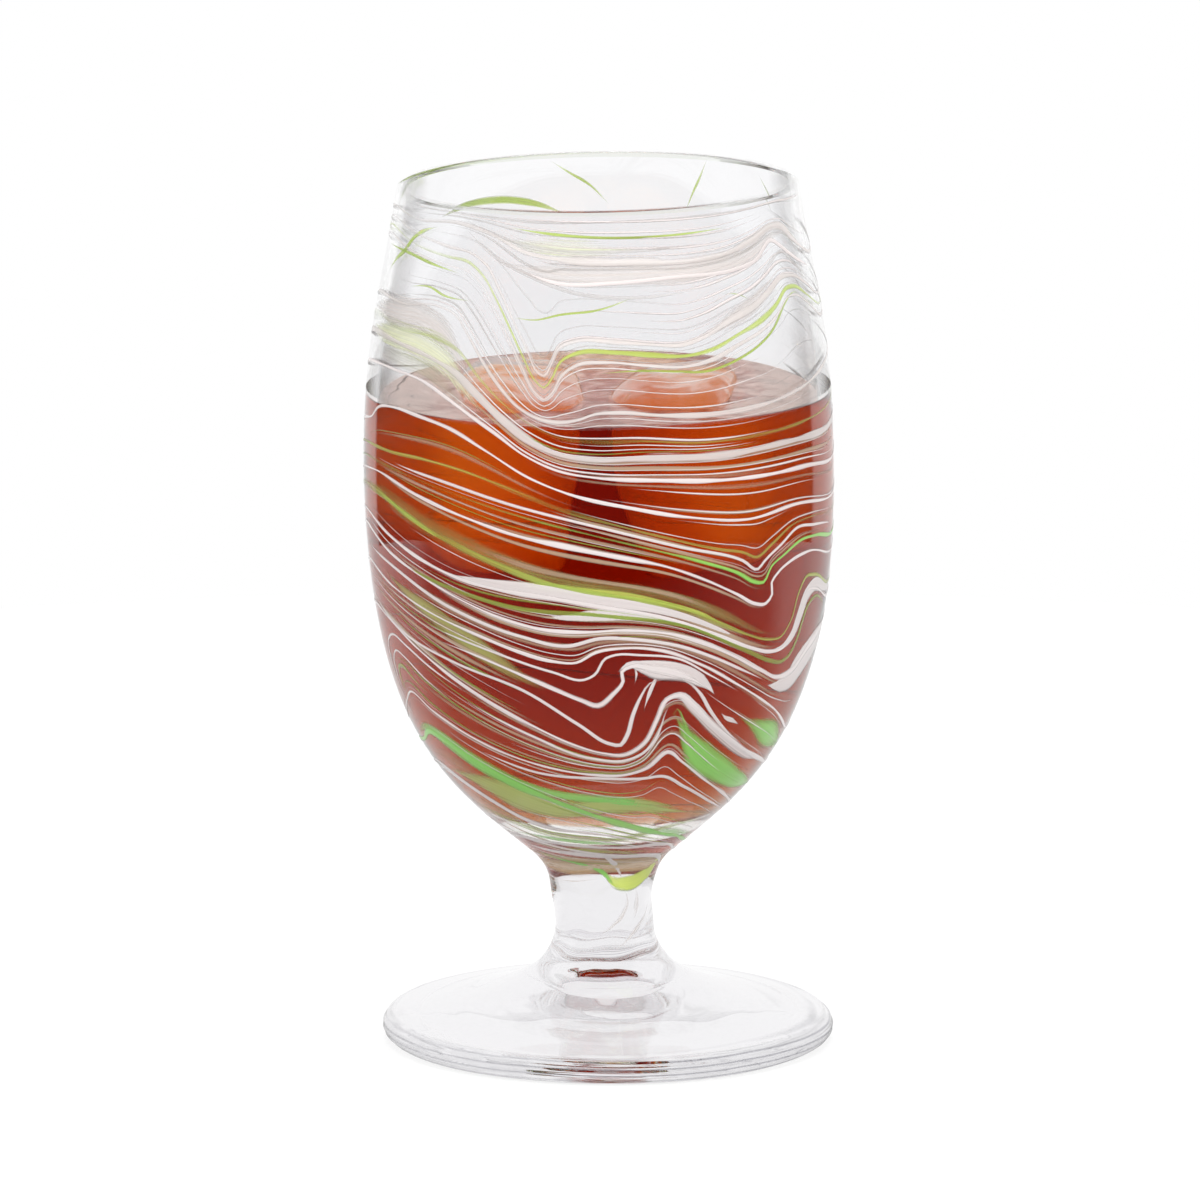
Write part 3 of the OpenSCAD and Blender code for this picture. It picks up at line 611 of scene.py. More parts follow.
# Green opal glass: yellow-green where it is thin and lit through, fuller green where it lies thick
lime_opal = opal_glass("opal_lime_glass", "#dcee7c", "#c4de62", 0.26, 1.3, 0.75, 0.9, 0.6)
green_opal = opal_glass("opal_green_glass", "#aeea74", "#86da62", 0.35, 1.0, 0.75, 0.95, 0.4)
green_worn = {
    1: [(-80, 0.4), (-16, 0.5), (-8, 0.8), (10, 1), (56, 1), (66, 0.7), (80, 0.4)],
    2: [(-80, 0.25), (-45, 0.3), (-30, 0.35), (-15, 0.35), (80, 0.35)],
    3: [(-80, 0.5), (-46, 0.6), (-20, 0.45), (30, 0.4), (80, 0.4)],
    4: [(-80, 0.3), (0, 0.3), (20, 0.55), (28, 1), (70, 1), (80, 0.8)],
    5: [(-80, 0.4), (-64, 0.8), (-52, 0.8), (-42, 0.45), (-24, 0.5), (-14, 1), (10, 1),
        (22, 0.6), (80, 0.6)],
    7: [(20, 1), (23, 0.8), (27, 0.1), (72, 0.1)],
    8: [(44, 0.1), (84, 0.1)],
    9: [(-52, 1), (4, 1), (12, 0), (60, 0)],
}
green_opals = [lime_opal] * 3 + [green_opal, lime_opal, green_opal]
lay_trails("green", green_arcs, green_rings, green_strands, green_opals, green_worn)


# Fine threads
# Combing drags the trails out into finer threads that run beside them, a hair to two millimetres wide.
# Some are opal white, green or tan, and some are clear cords, drawn as a pale grey line of painted shade
# for the light that their edges bend.
ANGLES = np.linspace(-180, 180, 1441)
TOP_SHARE, LOW_SHARE = 99.2, -0.5
THREAD_STEP = 1.0
THREAD_LIFT, TAN_LIFT = 0.07, 0.04
THREAD_TAIL = 14


def line_round(front):
    """Height of a trail all round the bowl, in percent, at each of the angles."""
    path = smooth(round_back(front, 180, 180), THREAD_STEP)
    return np.interp(ANGLES, np.maximum.accumulate(path[:, 0]), path[:, 1])


key_fronts = [*white_arcs[:2], green_arcs[0], *white_arcs[2:4], green_arcs[1], white_arcs[4],
              *white_rings[:2], *green_rings[:2], white_rings[2], green_rings[2], *white_rings[3:8],
              green_rings[3], white_rings[8]]
key_lines = np.vstack([np.full_like(ANGLES, TOP_SHARE), [line_round(f) for f in key_fronts],
                       np.full_like(ANGLES, LOW_SHARE)])
key_lines = np.minimum.accumulate(key_lines, axis=0)


def resample(angle, share, width, step):
    """The same curve with points a fixed step apart."""
    length = np.hypot(np.diff(angle) * DEGREE_MM, np.diff(share) * SHARE_MM)
    along = np.concatenate([[0], np.cumsum(length)])
    even = np.linspace(0, along[-1], max(8, int(along[-1] / step)))
    return np.column_stack([np.interp(even, along, v) for v in (angle, share, width)])


# Bundles: the trail above, by its place from the rim down, then kind, count, first and last angle,
# and least and greatest width
bundles = [
    (0, "clear", 3, -90, 90, 0.3, 0.7), (0, "white", 5, -60, 90, 0.25, 0.7),
    (1, "white", 9, -24, 88, 0.3, 1.1), (1, "clear", 3, -90, 90, 0.4, 0.8),
    (2, "clear", 1, -80, 80, 0.3, 0.5),
    (3, "clear", 1, -80, 80, 0.3, 0.5),
    (4, "clear", 4, -85, -4, 0.3, 0.7), (4, "white", 4, -85, 75, 0.25, 0.6),
    (4, "clear", 3, 30, 85, 0.3, 0.7),
    (5, "white", 3, -30, 85, 0.25, 0.7),
    (6, "white", 3, -60, 90, 0.25, 0.6), (6, "green", 1, -40, 80, 0.3, 0.6),
    (7, "white", 3, -90, 100, 0.2, 0.6), (7, "tan", 3, -60, 90, 0.7, 1.6),
    (8, "white", 2, -40, 110, 0.25, 0.7), (8, "tan", 2, -30, 90, 0.6, 1.4),
    (9, "white", 2, -20, 90, 0.25, 0.5), (9, "green", 1, -85, 0, 0.4, 0.8),
    (9, "tan", 1, -85, 30, 0.6, 1.2),
    (10, "white", 1, -85, 90, 0.25, 0.6), (10, "tan", 2, -60, 80, 0.6, 1.4),
    (11, "white", 1, -85, 50, 0.2, 0.5), (11, "green", 1, -85, 40, 0.3, 0.6),
    (11, "tan", 2, -80, 50, 0.6, 1.4),
    (12, "tan", 2, -80, 60, 0.8, 2),
    (13, "white", 2, -85, 60, 0.2, 0.6), (13, "tan", 2, 0, 62, 1, 2.4),
    (14, "white", 3, -90, 70, 0.2, 0.6), (14, "tan", 3, -80, 60, 0.6, 1.6),
    (14, "green", 1, -70, 60, 0.3, 0.8),
    (15, "white", 2, -90, 80, 0.2, 0.6), (15, "tan", 4, -80, 70, 0.6, 1.8),
    (15, "green", 1, -70, 30, 0.4, 0.9),
    (16, "white", 5, -90, -2, 0.2, 0.7), (16, "tan", 5, -85, -4, 0.6, 1.6),
    (16, "green", 3, -85, -10, 0.4, 1), (16, "white", 3, 20, 90, 0.2, 0.5),
    (16, "tan", 3, 24, 80, 0.5, 1.2),
    (17, "white", 5, -90, 100, 0.2, 0.7), (17, "tan", 4, -80, 70, 0.6, 1.4),
    (17, "green", 3, -80, 60, 0.3, 0.8),
    (18, "white", 3, -90, 90, 0.2, 0.6), (18, "tan", 3, -80, 60, 0.6, 1.4),
    (18, "green", 2, -70, 60, 0.4, 0.9),
    (19, "white", 2, -90, 90, 0.2, 0.6), (19, "green", 3, -60, 70, 0.4, 1),
    (20, "white", 3, -120, 120, 0.3, 1), (20, "tan", 3, -90, 90, 0.5, 1.4),
    (20, "green", 3, -90, 90, 0.4, 1),
]
# Threads read one by one: where each kind runs, with its width
threads = {
    "white": [
        [[-25, 92, 0.6], [-10, 89.7, 1], [5, 89.8, 1], [20, 90.2, 1], [40, 90.4, 1], [48, 91.2, 1],
         [56, 93.5, 1], [60, 92.4, 1], [65, 90.8, 1], [80, 87.5, 0.6]],
        [[-60, 61.4, 0.5], [-40, 60, 0.7], [-20, 57.5, 0.7], [0, 54.8, 0.7], [20, 51.5, 0.7],
         [37, 48.6, 0.7], [42, 47, 0.7], [44, 48, 0.7], [50, 50, 0.7], [56, 51.8, 0.7],
         [65, 51.5, 0.7], [80, 50.4, 0.5]],
        [[-80, 47.8, 0.6], [-60, 45.5, 0.8], [-40, 41.5, 0.9], [-20, 38.2, 0.9], [-8, 37.1, 0.9],
         [0, 38.3, 0.9], [10, 38, 0.9], [20, 36.8, 0.9], [30, 34.6, 0.8], [40, 32, 0.7],
         [50, 29.5, 0.5]],
        [[-50, 38.5, 0.4], [-30, 35.8, 0.6], [-12, 33, 0.6], [-4, 32, 0.6], [-1.5, 32.7, 0.6],
         [1.5, 35.3, 0.6], [4, 35.8, 0.6], [10, 35.7, 0.6], [20, 34.9, 0.6], [30, 31.8, 0.5],
         [40, 28.7, 0.4]],
        [[-80, 40.5, 0.5], [-60, 36, 0.7], [-40, 33, 0.7], [-20, 29.8, 0.8], [-6, 25, 0.9],
         [3, 21.9, 1], [6, 21.7, 1.1], [7.5, 23, 1.1], [9, 26.5, 1], [11, 29.5, 0.9], [13, 31.3, 0.8],
         [17, 31.8, 0.6]],
        [[-40, 27.5, 0.5], [-20, 22.9, 0.7], [-3, 19.6, 0.8], [9, 19.3, 0.8], [13, 20.3, 0.8],
         [16, 22.3, 0.8], [17.5, 25, 0.8], [18.3, 27, 0.7], [19.5, 27.8, 0.5]],
        [[-40, 19.5, 0.6], [-20, 16.8, 0.8], [0, 16.2, 0.9], [15, 16, 0.9], [20, 16.2, 0.9],
         [30, 14, 0.8], [45, 10.9, 0.7], [70, 7.5, 0.5]],
        [[-80, 3, 0.8], [-50, 4, 1.1], [-25, 3, 1.2], [0, 2, 1.2], [20, 1.4, 1.2], [40, 1.3, 1],
         [60, 0, 0.6]],
        [[-38, 28.5, 0.4], [-50, 31.5, 0.6], [-60, 34, 0.6], [-67, 35, 0.6], [-72, 33.5, 0.6],
         [-74, 30, 0.6], [-73, 26, 0.5], [-70, 22.5, 0.5], [-66, 20.5, 0.4]],
        [[20, 31.8, 0.5], [24, 30.9, 0.9], [28, 28.9, 1], [31, 26.7, 0.9], [34, 24.9, 0.8],
         [40, 22.2, 0.7], [48, 19.8, 0.5]],
        [[-44, 26.8, 0.4], [-54, 29.6, 0.5], [-62, 32, 0.5], [-67, 32.6, 0.5], [-70.5, 31, 0.5],
         [-71.5, 28, 0.5], [-70, 25, 0.5], [-67, 23, 0.4]],
    ],
    "green": [
        [[-60, 47, 0.6], [-40, 44.5, 1], [-20, 42.4, 1.1], [0, 41.8, 1.1], [20, 40, 1], [40, 35, 1],
         [50, 32.6, 1], [55, 32, 1], [58, 32.5, 1], [61, 34.5, 1], [63, 37.5, 1], [65, 39.5, 1],
         [68, 40.3, 0.9], [80, 38, 0.6]],
        [[-80, 92, 0.5], [-60, 91.7, 0.7], [-50, 91, 0.7], [-40, 90.3, 0.5]],
        [[-60, 87.2, 0.5], [-50, 87.7, 0.6], [-45, 86.9, 0.6], [-35, 86.5, 0.4]],
        [[-23, 84.7, 0.4], [-16, 84.5, 0.5], [-10, 85.3, 0.5], [0, 86, 0.5], [10, 87.8, 0.4]],
        [[-25, 97.4, 0.6], [-15, 96.8, 0.7], [0, 96.2, 0.6], [20, 96.1, 0.5], [38, 96.4, 0.4]],
        [[35, 87.3, 0.6], [40, 86.8, 0.7], [44, 85.7, 0.5]],
        [[0, 77, 0.4], [8, 77.3, 0.5], [20, 76.9, 0.6], [27, 76.6, 0.6], [38, 77.9, 0.6],
         [50, 80.9, 0.6], [58, 84.5, 0.6], [62, 85.5, 0.6], [66, 85.2, 0.4]],
        [[-76, 88, 1], [-71, 90.4, 1.4], [-66, 92, 1.2], [-62, 94, 1], [-56, 95.6, 1.4],
         [-50, 96.4, 0.6]],
        [[-52, 26.5, 0.4], [-60, 29, 0.7], [-65, 30.4, 1], [-68, 30, 1], [-69, 28, 0.9],
         [-67.5, 26, 0.7], [-64.5, 25, 0.4]],
        [[194, 98.8, 0.5], [188, 96.8, 0.8], [182, 94.8, 0.8], [177, 92, 0.4]],
        [[145.5, 99.4, 0.6], [148.5, 96.6, 0.9], [151.5, 94, 0.8], [154.5, 91, 0.4]],
        [[124.5, 98.4, 0.5], [120, 95.6, 0.8], [116, 92.6, 0.4]],
        [[-126, 92.2, 0.5], [-134, 92.9, 1.2], [-143, 93.4, 1.7], [-154, 93.2, 1.8], [-164, 92, 1.5],
         [-172, 90.2, 0.5]],
        [[-96, 99.2, 0.4], [-126, 99.3, 0.6], [-156, 99.4, 0.6], [-186, 99.4, 0.3]],
    ],
    "tan": [
        [[-62, -2.8, 0.5], [-45, -2.5, 0.8], [-28, -2.2, 0.6]],
        [[-60, -3.5, 0.3], [-30, -3.2, 0.4], [-4, -2.6, 0.3]],
    ],
    "clear": [
        [[-40, 98, 0.6], [-25, 95.6, 0.8], [-10, 94.4, 0.8], [10, 94.2, 0.8], [30, 94.6, 0.6]],
        [[-40, 97, 0.6], [-30, 93.4, 0.8], [-18, 90.6, 0.9], [-6, 88.4, 0.9], [10, 87.6, 0.8],
         [28, 88.2, 0.6]],
        [[44, 86.4, 0.6], [54, 90.4, 0.8], [60, 91.6, 0.8], [66, 89.4, 0.8], [76, 86, 0.6]],
    ],
}
dice = random.Random(41)
laid = {kind: Trails() for kind in threads}
for kind, routes in threads.items():
    for i, route in enumerate(routes):
        laid[kind].lay(smooth(route, THREAD_STEP), CROWN, TRAIL_LIFT, i, 0.9)
for k, kind, count, first, last, thin, thick in bundles:
    for i in range(count):
        share = (i + dice.uniform(0.25, 0.75)) / count
        start = first + dice.uniform(0, 0.35) * (last - first)
        stop = last - dice.uniform(0, 0.35) * (last - first)
        width = dice.uniform(thin, thick)
        phase = dice.uniform(0, 6.3)
        here = (ANGLES >= start) & (ANGLES <= stop)
        drift = share + 0.12 / count * np.sin(ANGLES / 23 + phase)
        height = key_lines[k] * (1 - drift) + key_lines[k + 1] * drift
        swell = width * (0.8 + 0.2 * np.sin(ANGLES / 9 + phase))
        path = resample(ANGLES[here], height[here], swell[here], THREAD_STEP)
        section, lift = (FILM, TAN_LIFT) if kind == "tan" else (THREAD, THREAD_LIFT)
        laid[kind].lay(path, section, lift, 40 * k + i, dice.uniform(0.45, 1), THREAD_TAIL)
# Thread glass: the trails' colours drawn thin, with tan cords that only tint what is behind, and clear
# cords painted pale grey as painted shade for the light that their edges bend
white_thread = opal_glass("opal_white_glass_threads", "#f3ecea", "#d9cecc", 0.3, 0.8, 0.7, 0.95, 0.3)
green_thread = opal_glass("opal_green_glass_threads", "#e0f472", "#bce65c", 0.3, 0.8, 0.7, 0.9, 0.8)
tan_thread = opal_glass("tan_glass_threads", "#dcc6aa", "#b89a78", 0.4, 1.0, 1.0, 0.8, 0.4)
# Clear cords: their pale grey colour is painted shade
clear_cord_painted_shade = opal_glass("clear_glass_cords_painted_shade", "#e4e0dd", "#c4bdb9", 0.3, 0.8, 0.9, 0.5, 0.5)
laid["white"].make("white_threads", white_thread, "white_glass")
laid["green"].make("green_threads", green_thread, "green_glass")
laid["tan"].make("tan_threads", tan_thread, "white_glass")
laid["clear"].make("clear_threads", clear_cord_painted_shade, "clear_glass")


# Smears
# Where a trail was dragged out thin it spread to a translucent film, torn to streaks along the flow.
# White smears stay milky, and green ones turn from lime to olive over the dark drink.
FILM_LIFT, FILM_STACK = 0.03, 0.004
smears = {
    "milky": [
        (2.2, [[4.6, 33.2, 0.8], [7, 34.3, 1.6], [11, 33.9, 2.8], [15, 33.3, 4.2], [19, 33, 4],
               [23, 32.4, 3.4], [27, 31.2, 2.8], [30, 30, 1.8], [32.4, 28.6, 0.4]]),
        (1.8, [[8.8, 34, 1.6], [9.4, 32.8, 1.1], [9, 31.2, 0.2]]),
        (1.8, [[15, 32.6, 2.2], [13.6, 30.6, 1.3], [12.6, 28.8, 0.8], [11.9, 27, 0.2]]),
        (2, [[35.6, 25.6, 0.3], [37.4, 24.8, 1.4], [40, 24.2, 1.6], [43.6, 23.2, 0.3]]),
        (2, [[51, 28.8, 1], [54, 28.4, 2.4], [58, 28.3, 3.8], [62, 28.7, 5.6], [66, 30.4, 7],
             [71, 31.8, 7], [77, 33, 6.4], [86, 33.6, 4.4], [96, 34.4, 2], [106, 35, 0.4]]),
        (1.7, [[50, 34.2, 0.8], [55, 34.4, 1.6], [58.5, 35.8, 2.2], [61, 38.6, 2.8],
               [63.5, 41.2, 3.2], [67, 42.2, 3.2], [74, 41.6, 2.8], [86, 39.6, 0.8]]),
        (1.7, [[-38, 46.5, 0.6], [-30, 45.9, 1.8], [-22, 45.5, 2.8], [-12, 45, 3.2], [-4, 44.4, 2.8],
               [4, 43.6, 2.4], [12, 42.8, 2], [20, 41.4, 1.5], [30, 39, 1], [38, 36.8, 0.4]]),
        (1.7, [[-15, 41.3, 0.5], [-8, 41.4, 1.4], [-2, 41.7, 2.6], [3, 41.9, 3], [8, 41.8, 2.2],
               [14, 41.2, 1.2], [21, 40, 0.4]]),
        (0.8, [[17, 28.4, 1], [21.5, 29, 1.6], [26, 27, 2.2], [32, 24.2, 2.6], [40, 21.2, 2.6],
               [50, 18.4, 2.4], [62, 16.2, 1.6]]),
        (1.1, [[-78, 15.4, 1], [-66, 14.6, 2], [-56, 12.6, 2], [-46, 10.4, 1.9], [-38, 8.6, 1.8],
               [-30, 7.4, 2], [-20, 6.6, 1.4], [-8, 6.2, 0.6]]),
        (1.3, [[-70, 4.3, 1], [-50, 4.1, 1.3], [-30, 3.9, 1.2], [0, 3.4, 1.1], [20, 3.2, 1.2],
               [34, 3.3, 1.6], [48, 2.8, 1.2], [60, 2.2, 0.6]]),
        (1.6, [[-60, 2.8, 0.6], [-40, 2.2, 1.2], [-20, 1.9, 1.5], [0, 1.6, 1.7], [20, 1.4, 1.7],
               [36, 1.2, 1.7], [50, 0.6, 1.4], [64, -0.6, 1], [76, -2, 0.6]]),
        (2.2, [[-2, 1.7, 0.8], [5, 1.1, 1.6], [10.5, 0.1, 1.6], [16, -1.2, 1.4], [21, -2.6, 0.6]]),
    ],
    "white": [
        (0.9, [[-84, 82.6, 5], [-66, 83, 7], [-52, 83, 7], [-44, 81.6, 6], [-38, 78.6, 4],
               [-33, 75, 1.4]]),
        (0.8, [[-30, 92.5, 1], [-10, 91, 4], [10, 90.8, 5], [30, 91, 5], [46, 92, 4], [56, 94, 3],
               [64, 94, 1]]),
        (0.7, [[24, 81, 1], [34, 83, 4], [44, 85, 4.4], [52, 87, 4], [60, 88.4, 2]]),
        (1.1, [[26, -4.8, 1.8], [29, -6.4, 2.4], [24, -8.2, 2], [12, -9.8, 1.6], [-6, -11.4, 0.8]]),
        (1.1, [[66, -7, 1.4], [58, -8.6, 1.8], [44, -10.4, 1.8], [28, -12.2, 1.4], [8, -13.8, 0.8]]),
        (1, [[40, -4.6, 2], [43, -6.2, 3.4], [41, -7.8, 3], [36, -9.4, 1.2]]),
    ],
    "lime": [
        (0.9, [[-84, 79.4, 4], [-64, 79.6, 6], [-50, 79, 7], [-42, 77.4, 6], [-36, 74.4, 4.4],
               [-30, 71, 2]]),
        (0.6, [[-30, 95.6, 1], [-22, 95.2, 3], [-12, 94.6, 4], [2, 94.4, 4], [12, 94.2, 1.4]]),
    ],
    "green": [
        (1.5, [[-72, 19.6, 2], [-62, 21.2, 4], [-54, 20, 4.6], [-46, 18, 5], [-38, 16.2, 5],
               [-30, 14.8, 4], [-20, 13.6, 3], [-8, 12.8, 3], [2, 12.4, 3.4], [12, 11.6, 3.4],
               [22, 10.6, 3], [32, 9.6, 2]]),
        (1.2, [[16, 7.4, 2], [24, 6.6, 4], [34, 5.8, 4.6], [44, 5, 4.4], [56, 4.4, 3.4],
               [68, 3.8, 1]]),
        (1.3, [[-56, 5, 1.6], [-36, 4.9, 2], [-20, 4.6, 1.8], [0, 4.2, 1.7], [16, 3.8, 1.4],
               [28, 3.5, 0.6]]),
        (2.6, [[-52, 1.6, 1.4], [-36, 0.7, 2.6], [-20, 0, 3.4], [-8, -0.7, 3.6], [2, -1.6, 3.4],
               [8, -2.6, 2]]),
        (1.9, [[20.4, 26.6, 1.6], [23, 24.6, 3.2], [27, 21.6, 6], [33, 18.6, 7.4], [41, 16.4, 7],
               [52, 14, 5.4], [64, 12.4, 4], [80, 11, 1]]),
        (1.6, [[42, 24.6, 1], [50, 22.8, 4.4], [58, 21, 6.4], [66, 19.2, 6.4], [80, 16.6, 3]]),
    ],
    "moss": [
        (2.0, [[-62, 15, 2], [-50, 14.2, 6], [-40, 13.2, 9], [-30, 11.8, 10], [-20, 10.8, 8],
               [-10, 10.6, 6], [2, 11.4, 6], [14, 11.2, 6], [26, 10.2, 5.4], [40, 9, 2]]),
        (1.2, [[-68, 9.6, 3], [-58, 8.6, 4.4], [-46, 7.4, 4], [-34, 6.2, 3], [-22, 5.4, 2.4],
               [-8, 5, 2], [8, 4.9, 2.4], [20, 5.6, 2.6], [32, 6.6, 3], [44, 7.2, 3.4],
               [58, 6.8, 2]]),
        (1.4, [[-56, 3.4, 1.2], [-30, 2.9, 2], [-8, 2.7, 2], [12, 2.4, 2], [30, 2.2, 1.6],
               [46, 1.6, 1]]),
    ],
    "yellow": [
        (1.3, [[-22, 46.6, 0.8], [-16, 46, 2], [-8, 45.6, 2.6], [0, 45.1, 2.6], [8, 44.5, 2],
               [16, 43.3, 1.4], [24, 41.8, 1], [34, 39, 0.5]]),
        (1.1, [[-72, 56, 0.6], [-62, 55.4, 1.4], [-54, 54, 1.6], [-46, 52.4, 1], [-38, 50.8, 0.4]]),
        (2.6, [[3, -1.4, 1.4], [8, -2.4, 3.2], [15, -3.2, 4], [26, -3.5, 3.8], [38, -3.3, 3.8],
               [48, -2.6, 3.8], [56, -1.4, 3], [56, 0, 2], [48, 1, 0.8]]),
    ],
    "olive": [
        (0.7, [[-78, 57, 3], [-66, 56.4, 4.4], [-54, 54.6, 4.8], [-40, 52.2, 4.8], [-28, 49.8, 4.6],
               [-16, 47.8, 4], [-4, 46.4, 3.2], [10, 45.4, 2.6], [22, 43.4, 2.6], [34, 40.4, 2.6],
               [44, 37.6, 2], [52, 36.4, 0.8]]),
        (1.6, [[-68, 45, 1.4], [-60, 43.2, 2.6], [-50, 41, 4], [-40, 38.2, 5], [-30, 35, 5.6],
               [-22, 32.4, 5], [-14, 30, 2]]),
        (0.5, [[-80, 77, 3], [-60, 76.6, 4], [-46, 75.4, 4], [-38, 72.6, 3], [-30, 69, 1.4]]),
    ],
    "tan": [
        (0.7, [[-70, 17, 2], [-60, 17, 7], [-50, 15.4, 8], [-42, 14.6, 5], [-36, 14.4, 2]]),
        (1.0, [[30, 10, 1], [40, 9, 3], [52, 8, 4], [64, 7.2, 3]]),
        (1.3, [[-80, 1.6, 3], [-50, 0.9, 3], [-20, 0.7, 2.6], [0, 0.6, 2.4], [24, 0.4, 2.6],
               [50, 0.6, 3], [80, 1.2, 3]]),
        (1.5, [[-98, -0.8, 6], [-60, -1, 6], [-30, -0.9, 5.4], [0, -0.5, 5], [30, -0.5, 5.4],
               [60, -0.8, 6], [98, -0.8, 6]]),
    ],
}
# Each film's pale and deep colour, how strongly its streaks break it, how softly it thins out,
# the length of its tails in mm, and its edge
film_kinds = {
    "milky": ("#f5eeec", "#dfd5d3", 1.3, 1.0, 5, 4), "white": ("#e9e2de", "#d0c6c0", 1.6, 1.2, 12, 2),
    "lime": ("#f0f2d2", "#e2e8b8", 1.6, 1.2, 12, 2), "green": ("#a6e674", "#7ed05c", 0.9, 1.6, 12, 2),
    "moss": ("#cfe080", "#a0b058", 3.2, 1.7, 16, 2), "yellow": ("#e2ec7c", "#c4da58", 2.4, 1.7, 6, 2),
    "olive": ("#c0c070", "#98944c", 1.4, 1.6, 16, 2), "tan": ("#dcc298", "#b08e62", 1.4, 1.4, 14, 2),
}
for kind, routes in smears.items():
    pale, deep, breaks, soft, tail, edge = film_kinds[kind]
    films = Trails()
    for i, (cover, route) in enumerate(routes):
        films.lay(smooth(route, THREAD_STEP), FILM, FILM_LIFT + FILM_STACK * i, 11 * i, cover, tail, edge)
    # Film glass: a veil of colour that thins to nothing at its torn edges
    film = opal_glass(f"{kind}_glass_film", pale, deep, 0.45, breaks, soft, 0.92, 0.35)
    slot = "white_glass" if kind in ("milky", "white", "tan") else "green_glass"
    films.make(f"{kind}_smears", film, slot)


# Drink
# A clear reddish-brown drink that fills the bowl to a little over two thirds and climbs at the wall.
# It has hollows where the ice displaces it, and can be taken away without touching the goblet.
WETTING = 0.12
MENISCUS_H, MENISCUS_W = 0.9, 3
RIPPLE_H = 0.06
TOP_RINGS = 48
DRINK_IOR = 1.335
DRINK_REFLECTION_MM = 7.6923
BESIDE_FROM, BESIDE_TO = 20, 36
slope = np.gradient(bowl_inside, axis=0)
outward = np.column_stack([-slope[:, 1], slope[:, 0]]) / np.hypot(*slope.T)[:, None]
wetted = (bowl_inside + WETTING * outward)[::-1]
wetted[0, 0] = 0
wetted = wetted[wetted[:, 1] < DRINK_Z + MENISCUS_H]
wall_r = wetted[-1, 0]
level_r = wall_r - MENISCUS_W
meniscus = bezier(
    wetted[-1], (wall_r - 0.3, DRINK_Z + 0.3), (wall_r - 1, DRINK_Z), (level_r, DRINK_Z), 10)
top = np.column_stack([np.linspace(level_r, 0, TOP_RINGS), np.full(TOP_RINGS, DRINK_Z)])
verts, faces = lathe(np.vstack([wetted, meniscus[1:], top[1:]]), wall_wave)
x, y, z = verts.T
open_water = np.clip((wall_r - 1.5 - np.hypot(x, y)) / 4, 0, 1) * (z > DRINK_Z - 0.01)
ripple = np.sin(x / 2.1 + np.sin(y / 5)) + np.sin(y / 1.7 + x / 4) + np.sin((x + y) / 3.3 + 1)
verts[:, 2] += RIPPLE_H * open_water * ripple

# Clear liquid: light that crosses it loses blue first, then green, and comes out amber to red-brown
# Seen low, its open surface carries a painted reflection: pale and brown streaks, paler towards both
# sides, and a painted metallic sheen at grazing angles; where it wets the glass nothing is mirrored
drink_liquid, tree = new_material("red_brown_drink")
place = add_node(tree, "ShaderNodeNewGeometry")
height = add_node(tree, "ShaderNodeSeparateXYZ", {0: place.outputs["Position"]})
facing = add_node(tree, "ShaderNodeSeparateXYZ", {0: place.outputs["Normal"]})
level = ramp(tree, height.outputs[2], (DRINK_Z - 0.6) * MM, (DRINK_Z - 0.5) * MM)
upward = ramp(tree, calc(tree, "ABSOLUTE", facing.outputs[2]), 0.6, 0.8)
open_face = calc(tree, "MULTIPLY", level, upward)
# Painted reflection: pale and brown noise streaks, paler towards both sides, colour what the open surface
# mirrors
painted_reflection_noise = add_node(tree, "ShaderNodeTexNoise", {
    "Vector": place.outputs["Position"], "Scale": 1 / (DRINK_REFLECTION_MM * MM), "Detail": 4.0,
    "Roughness": 0.6, "Distortion": 1.5})
side_painted_reflection = calc(tree, "ABSOLUTE", height.outputs[0])
side_painted_reflection = ramp(tree, side_painted_reflection, BESIDE_FROM * MM, BESIDE_TO * MM, most=0.26)
painted_streak = ramp(tree, calc(tree, "ADD", painted_reflection_noise.outputs[0], side_painted_reflection), 0.42, 0.7)
painted_reflection_colour = blend(tree, painted_streak, colour("#a85c42"), colour("#fcdccd"))
mirror = blend(tree, open_face, colour("#000000"), painted_reflection_colour)
# Painted sheen: a metallic share on the open surface at grazing angles, mirroring the painted colour
graze = add_node(tree, "ShaderNodeLayerWeight", {"Blend": 0.5})
painted_sheen = calc(tree, "MULTIPLY", ramp(tree, graze.outputs["Facing"], 0.6, 0.8, most=0.5), open_face)
depth = add_node(tree, "ShaderNodeVolumeAbsorption", {"Color": (0.866, 0.556, 0.02, 1), "Density": 153.0})
clear_finish(tree, DRINK_IOR, {
    "Base Color": colour("#ffffff"), "Specular Tint": mirror, "Metallic": painted_sheen}, depth)
drink = make_piece("drink", verts, faces, [drink_liquid])


# Ice
# Two large blocks of clear ice, melted round at the edges, floating with their tops above the drink.
# They are stained by the drink and sit in the hollows that they press into it.
ICE_ROUND, ICE_FLAT = 2.8, 6
ICE_CUTS = 23
MELT = 0.02
ICE_IOR = 1.31
ICE_REFLECTION_MM = 9.0909
ice_blocks = [
    ((-15.5, 0, 111), (12, 29, 16.5), (1, -3, 4), 0.05),
    ((15.5, 0, 110.5), (12, 26, 17), (-1, 8, -5), 0.05),
]
